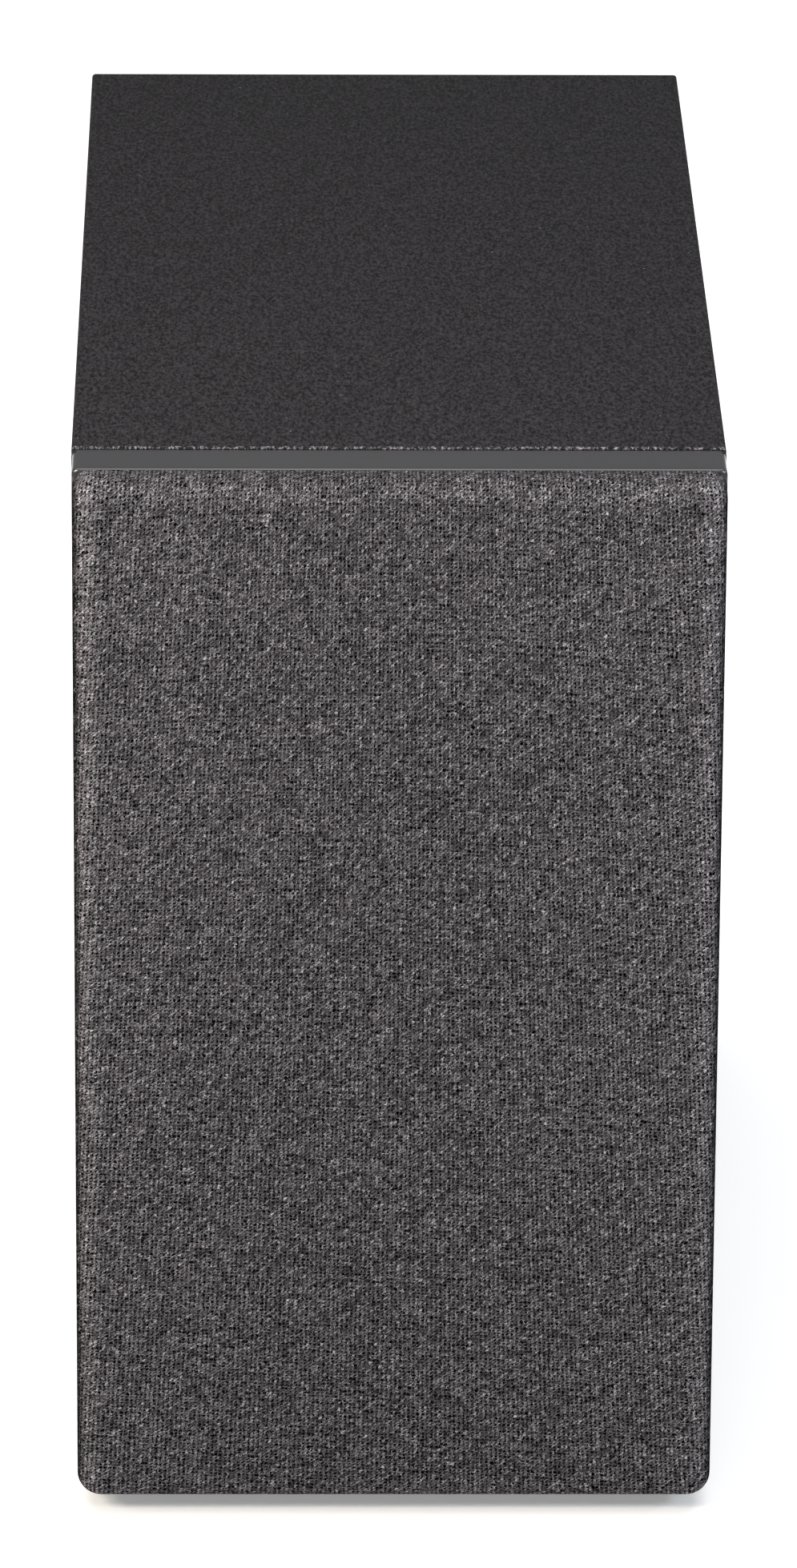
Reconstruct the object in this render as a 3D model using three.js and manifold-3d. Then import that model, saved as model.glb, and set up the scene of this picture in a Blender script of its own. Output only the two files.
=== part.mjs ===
// Wireless bass cabinet of a soundbar set: a vinyl-wrapped box with a cloth grille, a woofer,
// a bass-reflex port and an amplifier plate at the back.
// Millimetres, +Z up, +X to the right, and the front looks along -Y. The origin is on the floor,
// under the centre of the cabinet.
import * as THREE from "three";
import { mergeVertices } from "three/addons/utils/BufferGeometryUtils.js";
import Module from "manifold-3d";

const wasm = await Module();
wasm.setup();

// ---------------------------------------------------------------- driving dimensions
const CABINET = { width: 170, height: 290, depth: 358, footHeight: 5 };
const GRILLE = { depth: 8, gap: 0.4, inset: 0.75, corner: 6.4, fillet: 4.2, cloth: 0.8, rim: 10, rib: 10 };
const BAFFLE = { thickness: 15.5, inset: 0.3, corner: 1, bevel: 0.8, jointGap: 0.3 };
const WRAP = { thickness: 0.4, corner: 1 };
const PANEL = 12;
const REAR_RECESS = 5;
const WOOFER = { height: 98, recess: 5, recessRadius: 71.3, holeRadius: 62.2, flange: 71, screwCircle: 67.3 };
const PORT = { height: 232, bore: 24, wall: 2.6, mouth: 32, rim: 33, rimDepth: 2.4, length: 125 };
const PEG = { radius: 3, length: 9.2, x: 76, fromEnd: 9 };
const AMP = { width: 118, height: 168, centre: 112, plate: 1.6, gasket: 0.8, margin: 10 };
const FOOT = { top: 11, bottom: 9.5, recess: 5, x: 65, frontY: -138, rearY: 146 };
const CONTROL_ROW = 50;
const ROUND = 32;

// planes worked out from them
const FRONT = -CABINET.depth / 2;
const BACK = CABINET.depth / 2;
const FLOOR = CABINET.footHeight;
const TOP = FLOOR + CABINET.height;
const MIDDLE = (FLOOR + TOP) / 2;
const BAFFLE_FRONT = FRONT + GRILLE.depth;
const BAFFLE_BACK = BAFFLE_FRONT + BAFFLE.thickness;
const SLEEVE_FRONT = BAFFLE_BACK + BAFFLE.jointGap;
const PANEL_OUT_X = CABINET.width / 2 - WRAP.thickness;
const PANEL_IN_X = PANEL_OUT_X - PANEL;
const PANEL_BOTTOM = FLOOR + WRAP.thickness;
const PANEL_TOP = TOP - WRAP.thickness;
const REAR_FACE = BACK - REAR_RECESS;
const SEAT = BAFFLE_FRONT + WOOFER.recess;

// ---------------------------------------------------------------- materials
function finish(color, roughness, metalness = 0) {
  return new THREE.MeshStandardMaterial({ color, roughness, metalness });
}
const vinyl = finish(0x3a383b, 0.6);
const satinPaint = finish(0x4d4b4e, 0.4);
const board = finish(0x9a7a58, 0.85);
const knit = finish(0x4f4d50, 0.95);
const plastic = finish(0x232325, 0.55);
const rubber = finish(0x1c1c1d, 0.85);
const blackSteel = finish(0x2a2a2c, 0.45, 0.6);
const zinc = finish(0xb9bcc0, 0.35, 0.9);
const ferrite = finish(0x3b3b3e, 0.6, 0.1);
const paper = finish(0x2e2d2d, 0.9);
const foam = finish(0x222222, 0.95);
const felt = finish(0x8a8880, 1);
const copper = finish(0xb4652e, 0.35, 0.8);
const circuit = finish(0x1f5a36, 0.6);
const aluminium = finish(0xa9acaf, 0.4, 0.9);
const lens = finish(0xdfe6ea, 0.1);

// ---------------------------------------------------------------- geometry helpers
function solidOf(geometry) {
  const bare = geometry.clone();
  bare.deleteAttribute("normal");
  bare.deleteAttribute("uv");
  const merged = mergeVertices(bare, 1e-4);
  return new wasm.Manifold(
    new wasm.Mesh({
      numProp: 3,
      vertProperties: merged.attributes.position.array,
      triVerts: new Uint32Array(merged.index.array),
    }),
  );
}

function geometryOf(solid) {
  const { vertProperties, triVerts } = solid.getMesh();
  const geometry = new THREE.BufferGeometry();
  geometry.setAttribute("position", new THREE.BufferAttribute(vertProperties, 3));
  geometry.setIndex(new THREE.BufferAttribute(triVerts, 1));
  const flat = geometry.toNonIndexed();
  flat.computeVertexNormals();
  return flat;
}

function cut(geometry, ...tools) {
  return geometryOf(tools.reduce((left, tool) => left.subtract(solidOf(tool)), solidOf(geometry)));
}

function join(geometry, ...others) {
  return geometryOf(others.reduce((sum, other) => sum.add(solidOf(other)), solidOf(geometry)));
}

// A block between two corners, [x, y, z] each.
function block(low, high) {
  const size = high.map((value, axis) => value - low[axis]);
  const centre = high.map((value, axis) => (value + low[axis]) / 2);
  return new THREE.BoxGeometry(...size).translate(...centre);
}

// The outline of a rectangle with round corners, about the origin.
function roundedOutline(width, height, radius, steps = 6) {
  const corners = [[1, 1], [-1, 1], [-1, -1], [1, -1]];
  return corners.flatMap(([sideX, sideZ], quarter) =>
    Array.from({ length: steps + 1 }, (_, step) => {
      const angle = ((quarter + step / steps) * Math.PI) / 2;
      return new THREE.Vector2(
        sideX * (width / 2 - radius) + radius * Math.cos(angle),
        sideZ * (height / 2 - radius) + radius * Math.sin(angle),
      );
    }),
  );
}

// A rounded slab standing across Y. Each level is [inset, y], from the back to the front.
function slab(width, height, radius, levels, centreZ, steps = 6) {
  const rings = levels.map(([inset]) =>
    roundedOutline(width - 2 * inset, height - 2 * inset, Math.max(radius - inset, 0.05), steps));
  const count = rings[0].length;
  const positions = rings.flatMap((ring, level) =>
    ring.flatMap((point) => [point.x, levels[level][1], centreZ + point.y]));
  const index = [];
  for (let level = 0; level + 1 < levels.length; level += 1) {
    for (let i = 0; i < count; i += 1) {
      const a = level * count + i;
      const b = level * count + ((i + 1) % count);
      index.push(a, b, b + count, a, b + count, a + count);
    }
  }
  const last = (levels.length - 1) * count;
  for (let i = 1; i + 1 < count; i += 1) {
    index.push(0, i + 1, i, last, last + i, last + i + 1);
  }
  const geometry = new THREE.BufferGeometry();
  geometry.setAttribute("position", new THREE.Float32BufferAttribute(positions, 3));
  geometry.setIndex(index);
  return geometry;
}

// The levels of a slab whose front edge is rounded by a quarter circle.
function roundedFront(backY, frontY, fillet, steps = 5) {
  const levels = [[0, backY]];
  for (let step = 0; step <= steps; step += 1) {
    const angle = ((step / steps) * Math.PI) / 2;
    levels.push([fillet * (1 - Math.cos(angle)), frontY + fillet * (1 - Math.sin(angle))]);
  }
  return levels;
}

// The points of a [radius, y] profile, run so that its inside is on the left and its faces look out.
function profilePoints(profile) {
  const points = profile.map(([radius, y]) => new THREE.Vector2(radius, y));
  return THREE.ShapeUtils.area(points) < 0 ? points.reverse() : points;
}

// A body of revolution about the line along Y through x and z, with a profile that closes on itself.
function turned(profile, x = 0, z = 0, segments = ROUND) {
  const points = profilePoints(profile);
  return new THREE.LatheGeometry([...points, points[0]], segments).translate(x, 0, z);
}

// A solid disc or pin along Y whose profile starts and ends on the axis.
function pin(profile, x = 0, z = 0, segments = ROUND) {
  return new THREE.LatheGeometry(profilePoints(profile), segments).translate(x, 0, z);
}

function rod(radius, startY, endY, x = 0, z = 0, segments = ROUND) {
  return pin([[0, startY], [radius, startY], [radius, endY], [0, endY]], x, z, segments);
}

function ring(inner, outer, startY, endY, x = 0, z = 0, segments = ROUND) {
  return turned([[inner, startY], [outer, startY], [outer, endY], [inner, endY]], x, z, segments);
}

function arc(centreR, centreY, radius, fromDegrees, toDegrees, steps) {
  return Array.from({ length: steps + 1 }, (_, step) => {
    const angle = THREE.MathUtils.degToRad(fromDegrees + ((toDegrees - fromDegrees) * step) / steps);
    return [centreR + radius * Math.cos(angle), centreY + radius * Math.sin(angle)];
  });
}

const soundbarSub = new THREE.Group();
function add(name, geometry, material) {
  const mesh = new THREE.Mesh(geometry, material.clone());
  mesh.name = name;
  soundbarSub.add(mesh);
  return mesh;
}

// ---------------------------------------------------------------- cabinet
function addCabinet() {
  const sides = { left: -1, right: 1 };
  for (const [side, sign] of Object.entries(sides)) {
    const xs = [sign * PANEL_IN_X, sign * PANEL_OUT_X].sort((a, b) => a - b);
    const low = [xs[0], SLEEVE_FRONT, PANEL_BOTTOM + PANEL];
    const high = [xs[1], BACK, PANEL_TOP - PANEL];
    add(`${side}_panel`, block(low, high), board);
  }
  for (const [name, z] of [["bottom_panel", PANEL_BOTTOM], ["top_panel", PANEL_TOP - PANEL]]) {
    add(name, block([-PANEL_OUT_X, SLEEVE_FRONT, z], [PANEL_OUT_X, BACK, z + PANEL]), board);
  }

  const outside = slab(CABINET.width, CABINET.height, WRAP.corner,
    [[0, BACK], [0, SLEEVE_FRONT]], MIDDLE, 4);
  const inside = block([-PANEL_OUT_X, SLEEVE_FRONT - 1, PANEL_BOTTOM], [PANEL_OUT_X, BACK + 1, PANEL_TOP]);
  add("vinyl_wrap", cut(outside, inside), vinyl);

  const rearPanel = block([-PANEL_IN_X, REAR_FACE - PANEL, PANEL_BOTTOM + PANEL],
    [PANEL_IN_X, REAR_FACE, PANEL_TOP - PANEL]);
  const ampHole = block(
    [-AMP.width / 2 + AMP.margin, REAR_FACE - PANEL - 1, AMP.centre - AMP.height / 2 + AMP.margin],
    [AMP.width / 2 - AMP.margin, REAR_FACE + 1, AMP.centre + AMP.height / 2 - AMP.margin]);
  const rearHoles = plateScrewPlaces().map(([x, z]) => rod(1.9, REAR_FACE - 10, REAR_FACE + 1, x, z, 12));
  add("rear_panel", cut(rearPanel, ampHole, ...rearHoles), board);

  const braceY = 10;
  const braceThickness = 10;
  const braceRim = 22;
  add("window_brace", cut(
    block([-PANEL_IN_X, braceY, PANEL_BOTTOM + PANEL],
      [PANEL_IN_X, braceY + braceThickness, PANEL_TOP - PANEL]),
    block([-PANEL_IN_X + braceRim, braceY - 1, PANEL_BOTTOM + PANEL + braceRim],
      [PANEL_IN_X - braceRim, braceY + braceThickness + 1, PANEL_TOP - PANEL - braceRim]),
  ), board);

  const feltThickness = 8;
  for (const [side, sign] of Object.entries(sides)) {
    const xs = [sign * (PANEL_IN_X - feltThickness), sign * PANEL_IN_X].sort((a, b) => a - b);
    add(`${side}_felt_pad`, block([xs[0], 30, MIDDLE - 100], [xs[1], 145, MIDDLE + 100]), felt);
  }
}

// ---------------------------------------------------------------- baffle and port
function wooferScrewPlaces() {
  return [45, 135, 225, 315].map((degrees) => {
    const angle = THREE.MathUtils.degToRad(degrees);
    return [WOOFER.screwCircle * Math.cos(angle), WOOFER.height + WOOFER.screwCircle * Math.sin(angle)];
  });
}

function pegPlaces() {
  const low = FLOOR + PEG.fromEnd;
  const high = TOP - PEG.fromEnd;
  return [[-PEG.x, low], [PEG.x, low], [-PEG.x, high], [PEG.x, high]];
}

const SOCKET = { outer: 5, inner: 3.3, depth: 10.5, floor: 1 };

function addBaffle() {
  const width = CABINET.width - 2 * BAFFLE.inset;
  const height = CABINET.height - 2 * BAFFLE.inset;
  const levels = [
    [BAFFLE.bevel, BAFFLE_BACK],
    [0, BAFFLE_BACK - BAFFLE.bevel],
    [0, BAFFLE_FRONT + BAFFLE.bevel],
    [BAFFLE.bevel * 0.3, BAFFLE_FRONT + BAFFLE.bevel * 0.3],
    [BAFFLE.bevel, BAFFLE_FRONT],
  ];
  const tools = [
    rod(WOOFER.holeRadius, BAFFLE_FRONT - 1, BAFFLE_BACK + 1, 0, WOOFER.height),
    rod(WOOFER.recessRadius, BAFFLE_FRONT - 1, SEAT, 0, WOOFER.height),
    rod(PORT.bore + PORT.wall + 0.4, BAFFLE_FRONT - 1, BAFFLE_BACK + 1, 0, PORT.height),
    rod(PORT.rim + 0.3, BAFFLE_FRONT - 1, BAFFLE_FRONT + PORT.rimDepth, 0, PORT.height),
    ...pegPlaces().map(([x, z]) =>
      rod(SOCKET.outer + 0.05, BAFFLE_FRONT - 1, BAFFLE_FRONT + SOCKET.depth, x, z, 20)),
    ...wooferScrewPlaces().map(([x, z]) => rod(1.9, SEAT - 1, SEAT + 10, x, z, 12)),
  ];
  add("front_baffle", cut(slab(width, height, BAFFLE.corner, levels, MIDDLE, 4), ...tools), satinPaint);

  pegPlaces().forEach(([x, z], i) => {
    const floorY = BAFFLE_FRONT + SOCKET.depth - SOCKET.floor;
    add(`grille_socket_${i + 1}`, pin([
      [0, floorY],
      [SOCKET.inner, floorY],
      [SOCKET.inner, BAFFLE_FRONT],
      [SOCKET.outer, BAFFLE_FRONT],
      [SOCKET.outer, BAFFLE_FRONT + SOCKET.depth],
      [0, BAFFLE_FRONT + SOCKET.depth],
    ], x, z, 20), rubber);
  });

  const flare = PORT.mouth - PORT.bore;
  const tubeEnd = BAFFLE_FRONT + PORT.length;
  const outer = PORT.bore + PORT.wall;
  add("port_tube", turned([
    [PORT.rim, BAFFLE_FRONT],
    [PORT.rim, BAFFLE_FRONT + PORT.rimDepth],
    [outer, BAFFLE_FRONT + PORT.rimDepth],
    [outer, tubeEnd],
    [PORT.bore, tubeEnd],
    ...arc(PORT.mouth, BAFFLE_FRONT + flare, flare, 180, 270, 5),
  ], 0, PORT.height), plastic);
}

// ---------------------------------------------------------------- grille, which pulls off
function addGrille() {
  const width = CABINET.width - 2 * GRILLE.inset;
  const height = CABINET.height - 2 * GRILLE.inset;
  const backY = BAFFLE_FRONT - GRILLE.gap;
  const outside = slab(width, height, GRILLE.corner, roundedFront(backY, FRONT, GRILLE.fillet), MIDDLE);
  const hollow = (inset, rearY) => slab(
    width - 2 * inset,
    height - 2 * inset,
    GRILLE.corner - inset,
    roundedFront(rearY, FRONT + inset, GRILLE.fillet - inset),
    MIDDLE,
  );
  add("grille_cloth", cut(outside, hollow(GRILLE.cloth, backY + 1)), knit);

  const frameInset = GRILLE.cloth + 0.1;
  const halfWindow = width / 2 - GRILLE.rim;
  const ribBottom = WOOFER.height + WOOFER.flange + 17;
  const windows = [[FLOOR + GRILLE.rim + 1, ribBottom], [ribBottom + GRILLE.rib, TOP - GRILLE.rim - 1]]
    .map(([low, high]) => slab(2 * halfWindow, high - low, 8,
      [[0, backY + 1], [0, FRONT - 1]], (low + high) / 2, 4));
  const pegs = pegPlaces().map(([x, z]) => pin([
    [0, backY - 2],
    [PEG.radius, backY - 2],
    [PEG.radius, backY + PEG.length - 1.2],
    [PEG.radius - 1.2, backY + PEG.length],
    [0, backY + PEG.length],
  ], x, z, 16));
  add("grille_frame", join(cut(hollow(frameInset, backY), ...windows), ...pegs), plastic);
}

// ---------------------------------------------------------------- woofer
function addWoofer() {
  const z = WOOFER.height;
  const sheet = 1.5;
  const flangeFront = SEAT - sheet;
  const backY = SEAT + 49;
  const ledgeY = SEAT + 35.5;
  const basketShell = turned([
    [WOOFER.flange, flangeFront],
    [WOOFER.flange, SEAT],
    [61.5, SEAT],
    [61.5, SEAT + 8],
    [48, ledgeY],
    [40, ledgeY],
    [40, backY],
    [17, backY],
    [17, backY - sheet],
    [38.5, backY - sheet],
    [38.5, ledgeY - sheet],
    [46.8, ledgeY - sheet],
    [60, SEAT + 7.4],
    [60, flangeFront],
  ], 0, z);
  const windows = [0, 60, 120, 180, 240, 300].map((degrees) =>
    block([36, SEAT + 12, -15], [70, ledgeY - 4, 15])
      .rotateY(THREE.MathUtils.degToRad(degrees + 30))
      .translate(0, 0, z));
  const screwHoles = wooferScrewPlaces().map(([x, screwZ]) =>
    rod(2.2, flangeFront - 1, SEAT + 1, x, screwZ, 12));
  const lug = block([45, ledgeY - 8, z - 6], [58.8, ledgeY - 6.5, z + 6]);
  add("woofer_basket", join(cut(basketShell, ...windows, ...screwHoles), lug), blackSteel);
  add("terminal_strip", block([58.9, ledgeY - 15, z - 10], [60.5, ledgeY - 1, z + 10]), plastic);

  const lip = 0.7;
  const lipFront = flangeFront - lip;
  add("woofer_gasket", ring(60.3, 64, lipFront - 1.4, lipFront, 0, z), rubber);

  const rollR = 55.3;
  const roll = 4.6;
  const skin = 0.6;
  add("cone_surround", turned([
    [62.8, lipFront],
    [62.8, flangeFront],
    [rollR + roll - skin, flangeFront],
    ...arc(rollR, flangeFront, roll - skin, 0, -180, 7).slice(1),
    [48.4, flangeFront],
    [48.4, lipFront],
    ...arc(rollR, flangeFront, roll, 188, 352, 7),
  ], 0, z), foam);

  const coneDepth = 21;
  const neck = 13.4;
  add("woofer_cone", turned([
    [50.2, flangeFront + 0.1],
    [50.2, flangeFront + 1],
    [34, flangeFront + 9],
    [22, flangeFront + 16],
    [neck, flangeFront + coneDepth + 1],
    [neck, flangeFront + coneDepth],
    [22, flangeFront + 15.1],
    [34, flangeFront + 8.1],
    [48, flangeFront + 0.1],
  ], 0, z), paper);

  const capRadius = 19;
  const capSeat = flangeFront + 16.5;
  const dome = (radius, lift) => [0, 0.35, 0.7, 1].map((share) =>
    [radius * share, capSeat - lift * Math.sqrt(1 - share * share)]);
  add("dust_cap", pin([
    ...dome(capRadius, 6.5),
    [capRadius - 0.8, capSeat],
    ...dome(capRadius - 0.8, 5.8).slice(0, 3).reverse(),
  ], 0, z), paper);

  const formerFront = flangeFront + coneDepth - 1;
  const formerBack = backY + 7;
  add("coil_former", ring(12.95, 13.2, formerFront, formerBack, 0, z), aluminium);
  add("voice_coil", ring(13.22, 13.6, backY - 2, formerBack, 0, z), copper);

  const waveCount = 5;
  const waveHeight = 1.3;
  const cloth = 0.6;
  const spiderMid = ledgeY - sheet - cloth;
  const wave = Array.from({ length: waveCount * 2 + 1 }, (_, i) =>
    [16.5 + (i / (waveCount * 2)) * 21, spiderMid + (i % 2 ? waveHeight : -waveHeight)]);
  add("spider", turned([
    [13.65, spiderMid],
    ...wave,
    [40, spiderMid],
    [46, spiderMid],
    [46, spiderMid + cloth],
    [39.6, spiderMid + cloth],
    ...wave.map(([radius, y]) => [radius, y + cloth]).reverse(),
    [13.65, spiderMid + cloth],
  ], 0, z, 24), felt);

  const plateBack = backY + 5;
  const magnetBack = plateBack + 15;
  const yokeBack = magnetBack + 6;
  add("top_plate", ring(13.95, 36, backY, plateBack, 0, z), zinc);
  add("magnet", ring(20, 40, plateBack, magnetBack, 0, z), ferrite);
  add("yoke", turned([
    [12.4, backY],
    [4, backY],
    [4, yokeBack],
    [35, yokeBack],
    [36, yokeBack - 1],
    [36, magnetBack],
    [12.4, magnetBack],
  ], 0, z), zinc);

  wooferScrewPlaces().forEach(([x, screwZ], i) => {
    add(`woofer_screw_${i + 1}`, panScrew(flangeFront, -1, x, screwZ, 3, 12), blackSteel);
  });
}

// A pan-head screw along Y, whose head stands on the plane seatY and looks along facing (-1 or 1).
function panScrew(seatY, facing, x, z, headRadius, length) {
  const at = (distance) => seatY + facing * distance;
  return pin([
    [0, at(2)],
    [headRadius * 0.6, at(2)],
    [headRadius, at(0.9)],
    [headRadius, at(0)],
    [1.6, at(0)],
    [1.6, at(3 - length)],
    [0, at(1 - length)],
  ], x, z, 12);
}

// ---------------------------------------------------------------- amplifier
function plateScrewPlaces() {
  const x = AMP.width / 2 - 5;
  const high = AMP.height / 2 - 5;
  return [-1, 0, 1].flatMap((row) => [[-x, AMP.centre + row * high], [x, AMP.centre + row * high]]);
}

const INLET = { x: -30, width: 26, height: 14, flangeWidth: 31, flangeHeight: 19, flange: 1.4, depth: 17 };
const BUTTON = { x: 8, radius: 4, proud: 1.2, hole: 4.4 };
const LED = { x: 28, radius: 2.4, hole: 2.7 };

// A hole outline as a path, for a plate's shape.
function outlinePath(points) {
  return new THREE.Path(points);
}

function circlePath(x, z, radius, steps = 20) {
  return outlinePath(Array.from({ length: steps }, (_, i) => {
    const angle = (i / steps) * 2 * Math.PI;
    return new THREE.Vector2(x + radius * Math.cos(angle), z + radius * Math.sin(angle));
  }));
}

function movedPath(points, x, z) {
  return outlinePath(points.map((point) => new THREE.Vector2(point.x + x, point.y + z)));
}

// A flat plate standing across Y between two planes, with holes.
function plate(outline, holes, startY, endY) {
  const shape = new THREE.Shape(outline);
  shape.holes = holes;
  const geometry = new THREE.ExtrudeGeometry(shape, { depth: endY - startY, bevelEnabled: false });
  return geometry.rotateX(Math.PI / 2).translate(0, endY, 0);
}

function addAmplifier() {
  const gasketBack = REAR_FACE + AMP.gasket;
  const plateBack = gasketBack + AMP.plate;
  const shift = (points, x, z) => points.map((point) => new THREE.Vector2(point.x + x, point.y + z));
  const outline = shift(roundedOutline(AMP.width, AMP.height, 4, 4), 0, AMP.centre);

  const slots = [];
  const slotRows = 9;
  for (let row = 0; row < slotRows; row += 1) {
    for (const side of [-1, 1]) {
      slots.push(movedPath(roundedOutline(34, 2.6, 1.2, 1), side * 22, 130 + row * 6));
    }
  }
  const holes = [
    ...slots,
    ...plateScrewPlaces().map(([x, z]) => circlePath(x, z, 2, 12)),
    movedPath(roundedOutline(INLET.width + 0.4, INLET.height + 0.4, 0.1, 1), INLET.x, CONTROL_ROW),
    circlePath(BUTTON.x, CONTROL_ROW, BUTTON.hole),
    circlePath(LED.x, CONTROL_ROW, LED.hole, 16),
  ];
  const boardY = gasketBack - 12;
  const studs = [[-40, 66], [40, 66], [-40, 180], [40, 180]].map(([x, z]) =>
    rod(2.5, boardY, gasketBack + 0.5, x, z, 12));
  add("amp_plate", join(plate(outline, holes, gasketBack, plateBack), ...studs), blackSteel);

  const gasketHole = shift(
    roundedOutline(AMP.width - 2 * AMP.margin, AMP.height - 2 * AMP.margin, 1, 2), 0, AMP.centre);
  add("amp_gasket", plate(outline, [
    outlinePath(gasketHole),
    ...plateScrewPlaces().map(([x, z]) => circlePath(x, z, 2, 12)),
  ], REAR_FACE, gasketBack), foam);

  plateScrewPlaces().forEach(([x, z], i) => {
    add(`plate_screw_${i + 1}`, panScrew(plateBack, 1, x, z, 3, 12), blackSteel);
  });

  const boardFront = boardY - 1.6;
  add("main_board", block([-47, boardFront, 60], [47, boardY, 186]), circuit);
  const finCount = 9;
  const fins = Array.from({ length: finCount }, (_, i) => {
    const x = -28 + (i * 56) / (finCount - 1);
    return block([x - 0.8, boardFront - 30, 150], [x + 0.8, boardFront - 4, 180]);
  });
  add("heat_sink", join(block([-30, boardFront - 5, 150], [30, boardFront, 180]), ...fins), aluminium);
  add("power_transformer", join(
    block([-40, boardFront - 24, 70], [-10, boardFront, 96]),
    block([-36, boardFront - 20, 66], [-14, boardFront - 4, 100]),
  ), copper);
  [4, 24].forEach((x, i) => {
    add(`capacitor_${i + 1}`, rod(8, boardFront - 26, boardFront, x, 84, 24), plastic);
  });
  add("wireless_module", join(
    block([-12, boardFront - 3, 116], [14, boardFront, 134]),
    block([-8, boardFront - 5.5, 119], [6, boardFront - 2, 131]),
  ), zinc);

  const pegsZ = CONTROL_ROW;
  const inletBack = plateBack + INLET.flange;
  const socket = (side) => rod(4.1, inletBack - 12, inletBack + 1, INLET.x + side * 4.3, pegsZ, 20);
  add("mains_inlet", cut(
    join(
      block([INLET.x - INLET.width / 2, inletBack - INLET.depth, pegsZ - INLET.height / 2],
        [INLET.x + INLET.width / 2, inletBack - 0.5, pegsZ + INLET.height / 2]),
      block([INLET.x - INLET.flangeWidth / 2, plateBack, pegsZ - INLET.flangeHeight / 2],
        [INLET.x + INLET.flangeWidth / 2, inletBack, pegsZ + INLET.flangeHeight / 2]),
    ),
    socket(-1),
    socket(1),
    block([INLET.x - 4.3, inletBack - 12, pegsZ - 3.4], [INLET.x + 4.3, inletBack + 1, pegsZ + 3.4]),
  ), plastic);
  [-1, 1].forEach((side, i) => {
    add(`inlet_pin_${i + 1}`, rod(1.2, inletBack - 12, inletBack - 2.5,
      INLET.x + side * 4.3, pegsZ, 12), zinc);
  });

  const controlBoardBack = gasketBack - 8;
  const switchBack = controlBoardBack + 3.5;
  add("control_board", block([-2, controlBoardBack - 1.6, pegsZ - 7], [36, controlBoardBack, pegsZ + 7]),
    circuit);
  add("tact_switch", block([BUTTON.x - 3, controlBoardBack, pegsZ - 3],
    [BUTTON.x + 3, switchBack, pegsZ + 3]), plastic);
  add("pairing_button", pin([
    [0, switchBack + 1],
    [2, switchBack + 1],
    [2, gasketBack - 1.4],
    [BUTTON.radius + 1.6, gasketBack - 1.4],
    [BUTTON.radius + 1.6, gasketBack - 0.2],
    [BUTTON.radius, gasketBack - 0.2],
    [BUTTON.radius, plateBack + BUTTON.proud - 0.5],
    [BUTTON.radius - 0.5, plateBack + BUTTON.proud],
    [0, plateBack + BUTTON.proud],
  ], BUTTON.x, pegsZ, 24), plastic);
  add("led_lens", pin([
    [0, controlBoardBack + 0.3],
    [LED.radius, controlBoardBack + 0.3],
    [LED.radius, plateBack + 0.4],
    [LED.radius - 0.8, plateBack + 0.9],
    [0, plateBack + 0.9],
  ], LED.x, pegsZ, 16), lens);
}

// ---------------------------------------------------------------- lead and feet
function addSpeakerLead() {
  const route = new THREE.CatmullRomCurve3([
    [36, 161, 76], [36, 146, 74], [40, 110, 64], [43, 60, 58], [44, 15, 56],
    [46, -40, 62], [54, -90, 76], [62, -118, 92], [63, -134, 98],
  ].map((point) => new THREE.Vector3(...point)));
  const leadRadius = 1.6;
  const section = new THREE.Shape(circlePath(0, 0, leadRadius, 8).getPoints());
  add("speaker_lead", new THREE.ExtrudeGeometry(section, {
    steps: 40, extrudePath: route, bevelEnabled: false,
  }), plastic);
}

function addFeet() {
  const places = [[-1, FOOT.frontY], [1, FOOT.frontY], [-1, FOOT.rearY], [1, FOOT.rearY]];
  places.forEach(([side, y], i) => {
    const profile = [
      [0, 2.5], [FOOT.recess, 2.5], [FOOT.recess, 0], [FOOT.bottom - 0.6, 0],
      [FOOT.bottom, 0.6], [FOOT.top, FLOOR], [0, FLOOR],
    ].map(([radius, height]) => new THREE.Vector2(radius, height));
    const foot = new THREE.LatheGeometry(profile, 24).rotateX(Math.PI / 2).translate(side * FOOT.x, y, 0);
    add(`foot_${i + 1}`, foot, rubber);
  });
}

addCabinet();
addBaffle();
addGrille();
addWoofer();
addAmplifier();
addSpeakerLead();
addFeet();

export default soundbarSub;
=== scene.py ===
"""Soundbar subwoofer: the finished looks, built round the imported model.

Metres, +Z up, +X to the right; the grille looks along -Y and the amplifier plate along +Y.
"""
import math
import random

import bmesh
import bpy
from mathutils import Matrix, Vector


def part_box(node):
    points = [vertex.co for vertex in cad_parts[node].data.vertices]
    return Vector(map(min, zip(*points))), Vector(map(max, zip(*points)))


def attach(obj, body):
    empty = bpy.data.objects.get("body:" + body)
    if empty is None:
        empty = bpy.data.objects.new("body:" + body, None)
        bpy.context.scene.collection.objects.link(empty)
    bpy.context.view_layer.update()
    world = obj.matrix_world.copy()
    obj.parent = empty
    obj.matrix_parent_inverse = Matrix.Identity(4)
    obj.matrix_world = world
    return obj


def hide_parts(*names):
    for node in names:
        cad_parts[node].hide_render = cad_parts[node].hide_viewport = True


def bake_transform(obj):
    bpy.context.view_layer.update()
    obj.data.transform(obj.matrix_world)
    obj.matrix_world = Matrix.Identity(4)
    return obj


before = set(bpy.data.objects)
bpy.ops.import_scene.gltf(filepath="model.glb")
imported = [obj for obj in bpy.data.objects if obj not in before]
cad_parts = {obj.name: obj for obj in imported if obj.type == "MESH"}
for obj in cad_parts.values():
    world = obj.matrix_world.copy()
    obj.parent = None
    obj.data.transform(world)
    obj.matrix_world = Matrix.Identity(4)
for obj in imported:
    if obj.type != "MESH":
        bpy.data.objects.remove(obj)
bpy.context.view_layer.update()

MM = 0.001

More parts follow.
